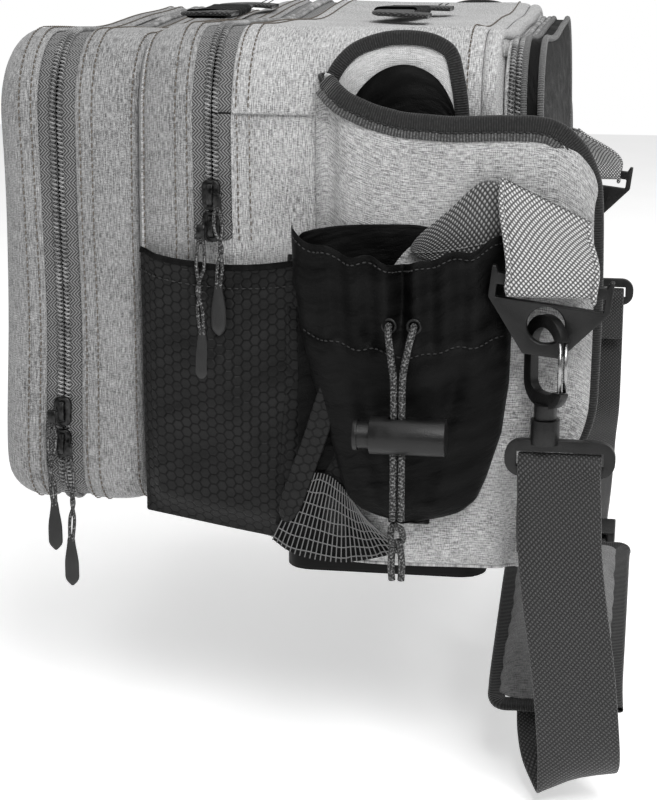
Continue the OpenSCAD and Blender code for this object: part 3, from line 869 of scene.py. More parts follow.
def add_lid():
    """The top of the main compartment with its lined underside."""
    lid = add_band("lid_shell", MAIN, LID_ROWS, "lid", HEATHER, above=235.2, count=200)
    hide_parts("lid_panel")
    rows = [seam_line(MAIN, -27.4, 2.2, 240), seam_line(MAIN, -21.2, 2.2, 240),
            seam_line(MAIN, 86, 1.9, 240)]
    stitches("lid_stitching", rows, THREAD_DARK, "lid")
    grid = slack(band_rows(MAIN, [(-28, -3.0), (0, -4.4), (40, -4.6), (80, -4.2), (91, -4.4)], 120, 240))
    inner = skin("lid_lining", grid, LINING, thick=0.6, offset=0)
    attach(inner, "lid")
    x = np.linspace(-150, 150, 90)
    rows = []
    for y, z in ((89, 276.0), (91.5, 276.6), (94, 276.4), (97, 275.4), (99.6, 273.4), (100.6, 270),
                 (100.9, 264)):
        rows.append(slack(np.stack([x, np.full(90, y), np.full(90, z)], 1)))
    hinge = skin("lid_hinge_cloth", np.array(rows), HEATHER, thick=1.4, offset=-1)
    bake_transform(hinge)


def flat_panel(shape, y, front_side, grow=0.0, count=200, bulge=3.0):
    """A whole panel at one station that swells a little in its middle."""
    rows = []
    middle_z = (shape["low"] + shape["high"]) / 2
    edge = ring(shape, grow, count)
    for share in (1.0, 0.97, 0.9, 0.75, 0.55, 0.3, 0.1, 0.001):
        xz = np.stack([edge[:, 0] * share, middle_z + (edge[:, 1] - middle_z) * share], 1)
        swell = bulge * (1 - share**3)
        rows.append(lift(xz, y + (-swell if front_side else swell)))
    grid = slack(np.array(rows))
    return grid if front_side else grid[:, ::-1]


def add_main_panels():
    for node, y, front, shape in (("main_front_panel", -78, True, MAIN_FRONT),
                                  ("main_back_panel", 99.5, False, MAIN)):
        panel = skin(node + "_cloth", flat_panel(shape, y, front, -2.5, bulge=1.4), HEATHER, thick=2.4,
                     subdivide=1)
        lay_weave(panel.data, (2, 0), 0.7)
        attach(panel, "bag")
        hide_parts(node)


REAR_GUSSET = [(100.3, -1.0), (100.6, 0.6), (101.4, 1.2), (103.2, 1.1)]
REAR_RIM = [(108.8, 0.8), (109.4, 1.4), (111, 1.3), (114, 1.0), (117.5, 1.1), (119.0, 0.4), (120.0, -3.0),
            (120.6, -12)]


def add_rear_pocket():
    band = add_band("rear_gusset", REAR, REAR_GUSSET, "bag", HEATHER, thick=1.6)
    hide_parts("rear_pocket_gusset")
    rows = [lift(ring(REAR, g, 220), y) for y, g in REAR_RIM]
    middle_z = (REAR["low"] + REAR["high"]) / 2
    for share, y in ((0.9, 120.6), (0.7, 121.2), (0.45, 121.6), (0.2, 121.8), (0.001, 121.8)):
        row = rows[7].copy()
        row[:, 0] *= share
        row[:, 2] = middle_z + (row[:, 2] - middle_z) * share
        row[:, 1] = y
        rows.append(row)
    cover = skin("rear_cover_shell", slack(np.array(rows))[:, ::-1], NYLON, thick=2.0, subdivide=1)
    lay_weave(cover.data, (2, 0), 0.7)
    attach(cover, "rear_cover")
    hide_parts("rear_cover")
    for tag, y in (("inner", 110.4), ("outer", 119.0)):
        pipe = sweep(f"rear_piping_{tag}", seam_line(REAR, y, 1.8, count=300), round_profile(1.7, 1.7, 8),
                     PIPING, up=Y_AXIS)
        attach(pipe, "rear_cover")
    x = np.linspace(-121, 121, 50)
    strip = np.array([slack(np.stack([x, np.full(50, y), np.full(50, REAR["low"] - 0.6)], 1))
                      for y in np.linspace(101, 112, 9)])
    hinge = skin("rear_hinge_cloth", strip, NYLON, thick=1.0, offset=0)
    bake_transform(hinge)


# ---------------------------------------------------------------- zips

COIL_PITCH = 2.2


def ring_normals(points):
    """Directions that point out of an outline, in the plane of the outline."""
    t = tangents(points)
    return unit(np.cross(Y_AXIS, t))


def coil_part(path, y_shift, phase, reach=1.3, height=1.1):
    """One side of a zip: a helix of stiff wire along the tape's edge."""
    length = np.linalg.norm(np.diff(path, axis=0), axis=1).sum()
    turns = length / COIL_PITCH
    line = evenly(path, max(int(turns * 8), 40))
    out = ring_normals(line)
    angle = np.linspace(0, 2 * math.pi * turns, len(line)) + phase
    arm = Y_AXIS * (reach * np.cos(angle))[:, None] + out * (height * np.sin(angle))[:, None]
    return line + Y_AXIS * y_shift + arm, arm


def zip_side(name, shape, y, direction, body, grow, above=None, below=None, half_gap=None, tape=9.4):
    """One side of a zip: its tape and its coil. direction is +1 where the tape lies on the +Y side."""
    line = lift(ring(shape, grow, 900, above, half_gap), y)
    pieces = [line]
    if below is not None:
        low = line[:, 2] <= below
        first = line[: np.argmin(low)] if low[0] else line[:0]
        last = line[len(low) - np.argmin(low[::-1]):]
        pieces = [first, last]
    for k, part in enumerate(pieces):
        tag = name if len(pieces) == 1 else f"{name}_{k + 1}"
        part = slack(part)
        count = max(int(len(part) / 4), 20)
        edge = evenly(part, count)
        out = ring_normals(edge)
        rows = np.array([edge + Y_AXIS * direction * w + out * h
                         for w, h in ((0.5, -0.5), (2.5, -0.3), (tape * 0.6, -0.2), (tape, -0.4),
                                      (tape + 3, -0.9))])
        if direction > 0:
            rows = rows[::-1]
        cloth = skin(f"{tag}_tape", rows, ZIP_TAPE, thick=0.9, offset=-1)
        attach(cloth, body)
        helix, arm = coil_part(part + ring_normals(part) * 0.9, direction * 1.85,
                               0 if direction > 0 else math.pi)
        grid = sweep_grid(helix, round_profile(0.42, 0.42, 5), arm)
        wire = skin(f"{tag}_coil", grid, COIL, around=True, caps=True)
        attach(wire, body)
        yield cloth


def add_zips():
    front_body = list(zip_side("front_zip_body", FRONT, -122, 1, "bag", 0.4, half_gap=131))
    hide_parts("front_zip_tape_body")
    front_cover = list(zip_side("front_zip_cover", FRONT, -122, -1, "front_cover", 0.4, half_gap=131))
    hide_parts("front_zip_tape_cover")
    main_body = list(zip_side("main_zip_body", MAIN, -40, -1, "bag", 0.8, above=172))
    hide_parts("main_zip_tape_body")
    list(zip_side("main_zip_lower", MAIN, -40, 1, "bag", 0.8, above=172, below=235.8))
    main_lid = list(zip_side("main_zip_lid", MAIN, -40, 1, "lid", 0.8, above=235.4))
    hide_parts("main_zip_tape_lid")
    rear_body = list(zip_side("rear_zip_body", REAR, 106, -1, "bag", 0.8, half_gap=121, tape=1.6))
    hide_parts("rear_zip_tape_body")
    rear_cover = list(zip_side("rear_zip_cover", REAR, 106, 1, "rear_cover", 0.8, half_gap=121, tape=1.6))
    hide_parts("rear_zip_tape_cover")


def slider_mesh(name, x, y, z, body, node, half_w=5.2):
    """A zip slider: a waisted top plate with a bridge for its pull."""
    centre = slack(np.array([[x, y, z]], float))[0]
    rows = []
    for dz, w in ((-7.5, 0.5), (-7, 0.72), (-4.5, 0.92), (0, 0.84), (3.5, 1.0), (6.4, 0.86), (7.4, 0.45)):
        section = np.array([(0, -half_w * w), (1.6, -half_w * w * 1.02), (2.6, -half_w * w * 0.8),
                            (2.9, 0), (2.6, half_w * w * 0.8), (1.6, half_w * w * 1.02), (0, half_w * w),
                            (-0.4, 0)])
        rows.append(np.stack([section[:, 0], section[:, 1], np.full(8, dz)], 1))
    plate = skin(name + "_plate", np.array(rows) + centre, SLIDER, around=True, caps=True, subdivide=1)
    bridge_path = smooth_path([(1.8, 0, 5.4), (4.4, 0, 4.8), (5.4, 0, 1.5), (5.3, 0, -2.5),
                               (4.2, 0, -4.8), (1.8, 0, -5.2)], 20)
    bridge = sweep(name + "_bridge", bridge_path + centre, slab_profile(3.4, 1.1), SLIDER, up=X_AXIS)
    for obj in (plate, bridge):
        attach(obj, body)
    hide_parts(node)


def pull_mesh(name, x, y, z, reach, body, node, sway):
    """A cord loop with a moulded grip that hangs from a slider."""
    centre = slack(np.array([[x, y, z]], float))[0]
    grip_l = 28
    tab = smooth_path([(-0.8, 0, 0.5), (0.8, 0, 1.2), (1.6, 0, -1), (1.4, 0, -5), (0.8, 0, -8)], 14)
    pieces = [sweep(name + "_tab", tab + centre, slab_profile(4.4, 1.0), SLIDER, up=X_AXIS)]
    for k, side in enumerate((-1, 1)):
        drop = reach - grip_l
        line = smooth_path([
            (1.6, 0.2 * side, -5.4), (1.6, 1.6 * side, -9), (1.2, 1.9 * side + sway * 0.3, -drop * 0.4),
            (1.2, -0.6 * side + sway, -drop * 0.62), (1.2, 1.2 * side + sway * 0.6, -drop * 0.82),
            (1.2, 0.8 * side, -drop - 4),
        ], 50)
        pieces.append(sweep(f"{name}_cord_{k + 1}", line + centre, round_profile(0.95, 0.95, 8), CORD))
    rows = []
    for s in np.linspace(0, 1, 15):
        w = (2.1 + 1.9 * ease(s, 0.05, 0.6)) * math.sqrt(max(1 - ease(s, 0.86, 1.0) * 0.98, 0.02))
        w *= math.sqrt(max(ease(s, -0.02, 0.06), 0.05))
        t = w * 0.46 * (1 - 0.25 * math.sin(math.pi * s))
        section = round_profile(t, w, 14)
        rows.append(np.stack([section[:, 0] + 1.2, section[:, 1], np.full(14, -reach + grip_l * (1 - s))],
                             1))
    pieces.append(skin(name + "_grip", np.array(rows) + centre, GRIP, around=True, caps=True, subdivide=1))
    for obj in pieces:
        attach(obj, body)
    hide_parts(node)


SLIDERS = {
    "front_upper": (184.0, -122, 80, 74, -126.4, -1.5), "front_lower": (184.0, -122, 63, 76, -117.6, 1.5),
    "main_upper": (193.4, -40, 196, 70, -35.6, 1.5), "main_lower": (193.4, -40, 180, 78, -44.4, -1.5),
    "rear": (151.6, 106, 160, 34, 106, 0.0),
}


def add_sliders():
    for name, (x, y, z, reach, pull_y, sway) in SLIDERS.items():
        half_w = 3.6 if name == "rear" else 5.2
        slider_mesh(name + "_slider_metal", x, y, z, name + "_slider", name + "_slider", half_w)
        pull_mesh(name + "_pull", x + 5.8, pull_y, z, reach, name + "_pull", name + "_pull", sway)


# ---------------------------------------------------------------- slip pocket at each end


def wall_grid(plan, low, rim, columns, rows, push=None):
    """An upright cloth wall over a plan line; rim gives its top for each column's share of the line."""
    line = smooth_path([(x, y, 0) for x, y in plan], columns)
    share = np.linspace(0, 1, columns)
    top = np.interp(share, [s for s, _ in rim], [z for _, z in rim])
    t = tangents(line)
    out = unit(np.cross(t, Z_AXIS))
    grid = []
    for k in range(rows):
        level = k / (rows - 1)
        row = line.copy()
        row[:, 2] = low + (top - low) * level
        if push is not None:
            row += out * push(row[:, 1], row[:, 2], share, level)[:, None]
        grid.append(row)
    return np.array(grid)


WRAP_PLAN = [(191.5, 12), (195, 15.5), (199.5, 21), (203.5, 30), (206, 42), (207.5, 60), (208, 82),
             (208, 104),
             (207.5, 124), (206.8, 139), (204.5, 148), (202, 152.5)]
RIM_TOP = [(0, 254), (0.05, 257), (0.10, 253), (0.16, 247), (0.24, 242), (0.34, 238.5), (0.5, 237),
           (0.66, 238), (0.78, 238), (0.85, 236), (0.92, 229), (0.97, 219), (1.0, 208)]


def wrap_push(y, z, share, level):
    """How the outer wrap fills out, folds at its front seam and narrows towards its foot."""
    belly = 1.6 * np.sin(math.pi * share) * np.sin(math.pi * np.clip(level, 0, 1) ** 0.8)
    wave = 0.9 * np.sin(z / 21 + share * 5) * np.sin(math.pi * share)
    lip = -2.2 * ease(level, 0.93, 1.0) * ease(share, 0.1, 0.3)
    pinch = -2.5 * np.exp(-((share - 0.075) / 0.035) ** 2) * ease(level, 0.2, 0.8)
    return belly + wave + lip + pinch


def wrap_surface():
    grid = wall_grid(WRAP_PLAN, 12.5, RIM_TOP, 90, 60, wrap_push)
    back = ease(grid[..., 1], 100, 146) * (1 - ease(grid[..., 2], 20, 100))
    grid[..., 1] -= back * 27
    grid[..., 0] -= back * 5
    foot = 1 - ease(grid[..., 2], 12, 24)
    grid[..., 0] -= 4 * foot
    front_foot = (1 - ease(grid[..., 1], 12, 30)) * (1 - ease(grid[..., 2], 12, 34))
    grid[..., 0] -= front_foot * 3
    return grid


def lip_line(grid):
    """The bound edge: along the top of the wrap and down its back edge."""
    top = grid[-1, 2:]
    side = grid[::-1, -1][1:]
    corner = np.vstack([top, side])
    return smooth_path(corner[:: 3], 260)


def tucked(points):
    """The far pocket lies folded in against the bag instead of standing out behind it."""
    p = np.array(points, float)
    p[..., 1] -= 0.62 * np.maximum(p[..., 1] - 98, 0)
    return p


def add_wraps():
    for name, sign in ENDS.items():
        grid = slack(wrap_surface())
        if sign < 0:
            grid = tucked(grid)
        turned = at_end(grid, sign)
        wrap = skin(f"pocket_wrap_{name}", turned, HEATHER, thick=2.2, subdivide=1)
        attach(wrap, "bag")
        if sign > 0:
            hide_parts("end_pocket_panels")
        add_return_panel(name, sign)
        add_lip_binding(name, sign, grid)


def add_return_panel(name, sign):
    """The hidden back of the slip pocket, from the bound edge round to the bag's back."""
    plan = [(203.5, 139), (199, 144), (192, 143.5), (186.5, 139), (183.5, 128), (182.5, 114), (182.5, 101)]
    rim = [(0, 196), (0.3, 205), (1, 214)]
    back = slack(wall_grid(plan, 13, rim, 40, 30))
    narrow = ease(back[..., 1], 104, 142) * (1 - ease(back[..., 2], 20, 100))
    back[..., 1] -= narrow * 24
    if sign < 0:
        back = tucked(back)
    panel = skin(f"pocket_return_{name}", at_end(back, sign), HEATHER, thick=1.6, subdivide=1)
    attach(panel, "bag")
    floor_rows = []
    outer = wrap_surface()[0] if sign > 0 else tucked(wrap_surface()[0])
    for share in (0.02, 0.4, 0.75, 1.0):
        row = outer.copy()
        row[:, 0] = 190 + (outer[:, 0] - 190) * share
        floor_rows.append(row)
    floor = skin(f"pocket_floor_{name}", at_end(slack(np.array(floor_rows)), sign), HEATHER, thick=1.4,
                 offset=0)
    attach(floor, "bag")


def add_lip_binding(name, sign, grid):
    """Black binding folded over the lip, with a ribbed tape along its lower edge and down the back."""
    line = lip_line(grid)
    inward = unit(np.stack([-X_AXIS[0] * np.ones(len(line)), np.zeros(len(line)), np.zeros(len(line))], 1))
    across = unit(np.cross(tangents(line), inward))
    fold = slab_profile(9.5, 4.4, 5)
    body = sweep(f"lip_binding_{name}", at_side(line - across * 4.0, sign), fold, BINDING,
                 up=inward * [sign, 1, 1], subdivide=1)
    rib_line = line - across * 9.6 + X_AXIS * 1.5
    rib = sweep(f"lip_rib_{name}", at_side(rib_line, sign), slab_profile(4.2, 1.7, 3), BINDING_RIB,
                up=inward * [sign, 1, 1])
    for obj in (body, rib):
        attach(obj, "bag")
    if sign > 0:
        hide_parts("end_pocket_bindings")
    seam = at_side(line - across * 7.2 + X_AXIS * 2.45, sign)
    stitches(f"lip_stitching_{name}", [seam], THREAD_BLACK, "bag")


FAR_LIP = [(16.5, 236), (18.5, 248), (23.5, 259), (32, 267.5), (44, 272.2), (55, 273.6), (67, 272.6),
           (75, 269.4),
           (79, 265), (81.5, 255), (83.5, 243), (85, 226)]


def add_pocket_back():
    """The inner wall of the slip pocket: a bound arch that stands against the lid, with a pale lining."""
    arch = smooth_path([(192.2, y, z) for y, z in FAR_LIP], 90)
    rows = []
    foot = np.array([191.4, 52, 34.0])
    for share in np.linspace(0, 1, 24):
        row = foot + (arch - foot) * share
        row[:, 1] = 52 + (arch[:, 1] - 52) * (0.82 + 0.18 * share)
        row[:, 2] = 34 + (arch[:, 2] - 34) * share
        row[:, 0] = 191.6 + 0.9 * share + 0.8 * np.sin(row[:, 2] / 26) * share
        rows.append(row)
    for name, sign in ENDS.items():
        lining = skin(f"pocket_lining_{name}", at_side(np.array(rows), sign), LINING, thick=0.8, offset=0)
        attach(lining, "bag")
        if sign > 0:
            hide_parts("end_pocket_linings")
        # A dark sheet inside the arch: painted shade.
        shade = painted_shade_panel()
        dark = skin(f"pocket_painted_shade_{name}", at_side(shade, sign), NYLON, thick=0.5, offset=0)
        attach(dark, "bag")
        edge = sweep(f"pocket_back_binding_{name}", at_side(arch + X_AXIS * 0.4, sign),
                     slab_profile(7.4, 3.4, 4),
                     BINDING, up=X_AXIS, subdivide=1)
        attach(edge, "bag")


def painted_shade_panel():
    """A dark nylon sheet inside the arch, standing for the shade deep in the pocket: painted shade."""
    arch = smooth_path([(194.4, y, z) for y, z in
                        [(28, 236), (33, 247), (42, 256), (52, 260.5), (62, 260), (72, 254), (79, 243),
                         (82, 232)]], 50)
    rows = []
    for share in np.linspace(0, 1, 12):
        row = arch.copy()
        row[:, 2] = 196 + (arch[:, 2] - 196) * share
        row[:, 0] += 1.4 * np.sin(row[:, 1] / 7) * share
        rows.append(row)
    return np.array(rows)


# ---------------------------------------------------------------- honeycomb pocket at each end


def honeycomb_surface():
    y = np.linspace(-77.5, 8, 60)
    level = np.linspace(0, 1, 64)
    yy, ll = np.meshgrid(y, level)
    across = (yy + 77.5) / 85.5
    top = 168 - 6 * np.sin(across * math.pi) - 3 * across
    low = 18 + 12 * (1 - across) ** 1.3
    zz = low + (top - low) * ll
    round_in = ease(across, 0, 0.12)
    depth = 0.8 + 7.2 * round_in * ease(ll, 0.0, 0.12)
    fold = 1.6 * np.sin(yy / 8.5 + zz / 19) * ease(ll, 0.02, 0.3) * (0.4 + 0.6 * across)
    deep = 2.4 * np.exp(-((yy + 18 + (zz - 90) * 0.42) / 7) ** 2) * ease(ll, 0.05, 0.3)
    gather = 1.2 * np.sin(zz / 7.5 - yy / 14) * ease(across, 0.55, 1.0)
    xx = 190.4 + depth + (fold - deep + gather) * 0.75 * round_in
    return np.stack([xx, yy, zz], -1)


def add_honeycomb_pockets():
    grid = slack(honeycomb_surface())
    for name, sign in ENDS.items():
        pocket = skin(f"honeycomb_pocket_{name}", at_end(grid, sign), HONEYCOMB, thick=0.7, subdivide=1)
        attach(pocket, "bag")
        if sign > 0:
            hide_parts("honeycomb_pockets")
        hem = at_side(grid[-1] + [0.2, 0, -0.6], sign)
        roll = sweep(f"honeycomb_hem_{name}", hem, slab_profile(3.2, 1.4, 3), NYLON, up=X_AXIS)
        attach(roll, "bag")
        row = at_side(grid[-6] + [0.5, 0, 0], sign)
        stitches(f"honeycomb_stitching_{name}", [row], THREAD_BLACK, "bag")


# ---------------------------------------------------------------- drawstring pocket at each end

POCKET_LEFT = [(187, 3), (160, 4), (133, 8), (110, 13), (85, 21), (62, 27), (50, 31), (43, 38),
               (38, 52)]
POCKET_RIGHT = [(187, 109), (160, 110.5), (133, 111.5), (110, 111), (85, 108), (62, 101), (50, 96),
                (43, 88), (38, 72)]


def edge_at(z, table):
    heights = [p[0] for p in table][::-1]
    values = [p[1] for p in table][::-1]
    return np.interp(z, heights, values)


def pocket_rim(y):
    """Top of the pocket along Y: higher at the sides, dipping where the cords gather it."""
    return 172.5 + 11 * ((y - 56) / 52) ** 2 + 1.4 * np.sin(y / 3.1) - 4.0 * np.exp(-((y - 61) / 6) ** 2)


def pocket_surface(low=38.0):
    share = np.linspace(0, 1, 110)
    level = np.linspace(0, 1, 76)
    ss, ll = np.meshgrid(share, level)
    guess = 4 + 104 * ss
    zz = low + (pocket_rim(guess) - low) * ll
    left, right = edge_at(zz, POCKET_LEFT), edge_at(zz, POCKET_RIGHT)
    yy = left + (right - left) * ss
    angle = np.arccos(np.clip(1 - 2 * ss, -1, 1))
    depth = np.sin(angle) ** 0.8
    reach = 26.0 - 9 * (1 - ease(zz, 40, 128)) + 1.0 * ease(zz, 150, 178)
    reach -= 9 * (1 - ease(zz, 36, 52)) ** 1.5
    xx = 208.4 + reach * depth
    gather = ease(zz, 118, 138)
    pleat = 1.7 * np.sin(ss * 46 + 0.6 * np.sin(zz / 15)) * gather * depth
    soft = 1.5 * np.sin(ss * 17 + zz / 24) * (1 - 0.5 * gather) * depth
    tuck = 2.2 * np.exp(-((zz - 133) / 3.6) ** 2) * depth
    cleft = 7.5 * np.exp(-((yy - 60) / 4.0) ** 2) * ease(zz, 128, 150)
    crease = 2.6 * np.exp(-((yy - 78 - (zz - 80) * 0.25) / 5) ** 2) * (1 - ease(zz, 110, 128))
    crease += 2.2 * np.exp(-((yy - 46 + (zz - 80) * 0.2) / 4) ** 2) * (1 - ease(zz, 105, 126))
    xx += pleat + soft - tuck - cleft - crease
    return np.stack([np.maximum(xx, 207.6), yy, zz], -1)


def add_drawstring_pockets():
    grid = pocket_surface()
    back_y = np.linspace(6, 107, 60)
    rows = []
    for share in np.linspace(0, 1, 16):
        top = 178 + 8 * np.sin((back_y - 6) / 101 * math.pi) ** 0.4 - 6 * ease(back_y, 60, 104)
        z = 60 + (top - 60) * share
        rows.append(np.stack([208.9 + 0.7 * np.sin(back_y / 6) * share, back_y, z], 1))
    back = np.array(rows)
    bottom = [grid[0].copy()]
    for share in (0.7, 0.4, 0.05):
        row = grid[0].copy()
        row[:, 0] = 208.2 + (row[:, 0] - 208.2) * share
        row[:, 2] -= 2.5 * (1 - share)
        bottom.append(row)
    for name, sign in ENDS.items():
        front = skin(f"drawstring_pocket_{name}", at_end(grid, sign), NYLON, thick=0.8, subdivide=1)
        lining = skin(f"drawstring_back_{name}", at_end(back, sign), NYLON, thick=0.7, subdivide=1)
        base = skin(f"drawstring_base_{name}", at_end(np.array(bottom[::-1]), sign), NYLON, thick=0.7,
                    offset=0)
        for obj in (front, lining, base):
            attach(obj, "bag")
        if sign > 0:
            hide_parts("drawstring_pockets")
        casing = grid[int(76 * 0.66)][4:-4] + [0.6, 0, 0]
        hem = grid[-3][3:-3] + [0.55, 0, 0]
        rows = [at_side(casing, sign), at_side(hem, sign)]
        stitches(f"casing_stitching_{name}", rows, THREAD_BLACK, "bag", 2.9, 2.1, 0.38)
        eyelet_at = np.array([235.6, 0, 141.0])
        for k, dy in enumerate((-6, 6)):
            a = np.linspace(0, 2 * math.pi, 26)[:-1]
            loop = np.stack([eyelet_at[0] + 0.4 * np.cos(a), CORD_Y + dy + 3.1 * np.cos(a),
                             eyelet_at[2] + 3.1 * np.sin(a)], 1)
            closed = np.vstack([loop, loop[:1]])
            hole = sweep(f"cord_eyelet_{name}_{k + 1}", at_side(closed, sign), round_profile(0.8, 0.8, 8),
                         PLASTIC, up=X_AXIS, caps=False)
            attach(hole, "bag")


def add_pocket_sides():
    """Ripstop that fills the fold between the honeycomb pocket and the drawstring pocket."""
    y = np.linspace(-4, 40, 24)
    z = np.linspace(27, 168, 40)
    yy, zz = np.meshgrid(y, z)
    left = np.interp(zz, [27, 60, 110, 168], [-8, -5, -2, -1])
    right = np.interp(zz, [27, 60, 110, 168], [30, 34, 36, 20])
    yy = left + (right - left) * (yy + 4) / 44
    across = (yy - left) / (right - left)
    xx = 198.6 + 11.2 * ease(across, 0.0, 0.8) - 3.0 * np.exp(-((across - 0.32) / 0.14) ** 2)
    xx += 0.8 * np.sin(zz / 9 + across * 4)
    grid = np.stack([xx, yy, zz], -1)
    for name, sign in ENDS.items():
        side = skin(f"pocket_side_{name}", at_end(grid, sign), HONEYCOMB, thick=0.7, subdivide=1)
        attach(side, "bag")


def add_strips():
    """A narrow honeycomb strap that runs slantwise from the pocket's casing to the bag's foot."""
    line = smooth_path([(224, 32, 126), (221, 27, 112), (218, 21, 95), (214.5, 15, 77), (212, 8.5, 60),
                        (210, 3, 45),
                        (208, -1, 33)], 60)
    width = np.concatenate([np.full(50, 1.0), np.sqrt(np.maximum(1 - np.linspace(0, 0.97, 10) ** 2, 0))])
    profile = slab_profile(12.0, 2.6, 3)
    for name, sign in ENDS.items():
        strip = sweep(f"slant_strip_{name}", at_side(line, sign), profile, HONEYCOMB, up=X_AXIS,
                      scale=width, subdivide=1)
        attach(strip, "bag")


def net_strands():
    """A fan of fine net: radiating threads with rows of cross threads."""
    top = smooth_path([(210.5, 9, 58), (210.8, 16, 60), (211.2, 24, 58), (211.6, 32, 50), (212, 40, 38)],
                      27)
    foot = smooth_path([(205, -8, 22), (207.4, 2, 16.5), (209.4, 18, 13.8), (210.6, 36, 14.6),
                        (211.4, 60, 21)], 27)
    lines = [np.linspace(a, b, 12) for a, b in zip(top, foot)]
    for level in np.linspace(0.1, 0.95, 7):
        row = top * (1 - level) + foot * level
        zig = np.repeat(row, 2, axis=0)[:-1]
        zig[1::2, 2] += 1.3
        lines.append(zig)
    return lines


def add_nets():
    for name, sign in ENDS.items():
        backing = np.array([strand[0] for strand in net_strands()[:27]])
        foot = np.array([strand[-1] for strand in net_strands()[:27]])
        rows = np.array([foot * (1 - s) + backing * s - [0.9, 0, 0] for s in np.linspace(0, 1, 8)])
        base = skin(f"net_backing_{name}", at_end(rows, sign), NYLON, thick=0.5, offset=0)
        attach(base, "bag")
        parts = []
        for line in net_strands():
            path = evenly(at_side(line, sign), 24)
            grid = sweep_grid(path, round_profile(0.32, 0.32, 5))
            faces, _ = grid_faces(24, 5, True)
            parts.append((grid.reshape(-1, 3), faces.tolist()))
        net = merged(f"net_fan_{name}", parts, THREAD_GREY, "bag")
        if sign > 0:
            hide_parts("mesh_gussets")


# ---------------------------------------------------------------- strap anchors, rings and hooks

RING_AT = np.array([226.0, 131.0, 161.0])
RING_TILT = math.radians(-7)


def at_ring(points):
    """Points in a ring's own axes, moved to the ring at the near end."""
    p = np.asarray(points, float)
    c, s = math.cos(RING_TILT), math.sin(RING_TILT)
    y = p[..., 1] * c - p[..., 2] * s
    z = p[..., 1] * s + p[..., 2] * c
    return np.stack([p[..., 0], y, z], -1) + RING_AT


def slanted(points):
    """Pulls the webbing's sewn end out of square, higher towards the front."""
    p = np.array(points, float)
    share = ease(p[..., 2], 164, 200)
    p[..., 2] -= (p[..., 1] - 131) * 0.36 * share
    p[..., 1] -= 9 * share
    return p


def leaning(points):
    """The far anchor runs back to the folded pocket."""
    p = np.array(points, float)
    share = ease(p[..., 2], 164, 206)
    p[..., 1] -= 36 * share
    p[..., 0] -= 12 * share
    return p


def add_anchors():
    """Two layers of webbing from each ring up to the bag: a bright front one, and one behind in a darker copy of
    the same webbing, which is painted shade.
    """
    front = smooth_path([(-8.6, 0, 41), (-4.5, 0, 31), (1.0, 0, 19), (5.0, 0, 8), (5.6, 0, 2),
                         (5.0, 0, -2.5), (2.5, 0, -4.6),
                         (-2.0, 0, -4.6), (-4.8, 0, -2.0), (-6, 0, 6), (-9, 0, 16), (-14, 0, 30),
                         (-17.5, 0, 40)], 70)
    for name, sign in ENDS.items():
        path = at_ring(front)
        out = unit(np.cross(tangents(path), Y_AXIS))
        layer = slanted(sweep_grid(path, slab_profile(42, 2.0), out))
        if sign < 0:
            layer = leaning(layer)
        web = skin(f"anchor_web_{name}", at_side(layer, sign)[::sign], ANCHOR_WEB, around=True, caps=True)
        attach(web, "bag")
        if sign > 0:
            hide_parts("anchor_webbings")
        top = smooth_path([(212.0, 62, 175), (212.2, 66, 181), (212.6, 80, 193.5), (213.2, 97, 208.5),
                           (213.8, 112, 204)], 22)
        foot = smooth_path([(211.8, 62, 172), (211.8, 70, 169), (212.4, 84, 167), (213.4, 100, 167),
                            (214.2, 116, 170)], 22)
        rows = [foot + (top - foot) * s + X_AXIS * 0.8 * math.sin(math.pi * s) for s in np.linspace(0, 1,
                                                                                                    8)]
        # The flap behind takes the darker webbing copy: painted shade.
        flap = skin(f"anchor_flap_{name}", at_end(np.array(rows), sign), ANCHOR_WEB_PAINTED_SHADE, thick=1.6,
                    offset=0, subdivide=1)
        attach(flap, "bag")
        stitches(f"anchor_stitching_{name}", [at_side(rows[2] + X_AXIS * 1.2, sign)], THREAD_GREY,
                         "bag", 2.8, 2.2)
        for v in (-20.5, 20.5):
            line = slanted(at_ring(front[:40] + [1.2, v, 0]))
            if sign < 0:
                line = leaning(line)
            roll = sweep(f"anchor_edge_{name}_{'back' if v > 0 else 'front'}", at_side(line, sign),
                         round_profile(1.3, 1.6, 8), ANCHOR_WEB)
            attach(roll, "bag")


STRAP_W = 40
STRAP_ROUTE = [
    (238, 138, 34), (230, 137, 50), (222.5, 137, 66), (221.6, 137, 74), (223.5, 137, 78), (228.5, 137, 78),
    (230.4, 137, 74), (231, 137, 66), (236, 138, 52), (242, 139, 34), (245, 142, 10), (246, 147, -24),
    (245, 150, -54), (241, 151, -74), (233, 149, -84), (224, 145, -82), (215, 140, -75), (200, 137, -67),
    (180, 136, -60), (150, 136, -49), (120, 136, -39), (90, 136, -30), (60, 136, -23), (30, 136, -20),
    (0, 136, -18), (-60, 136, -22), (-120, 136, -20), (-165, 136, -12), (-205, 137, 0), (-223, 137, 30),
    (-231, 137, 60), (-230.4, 137, 74), (-228.5, 137, 78), (-223.5, 137, 78), (-221.6, 137, 74),
    (-221, 137, 64), (-214, 137, 46),
]
PAD_FROM, PAD_TO = 17, 22
PAD_W, PAD_T = 66, 9


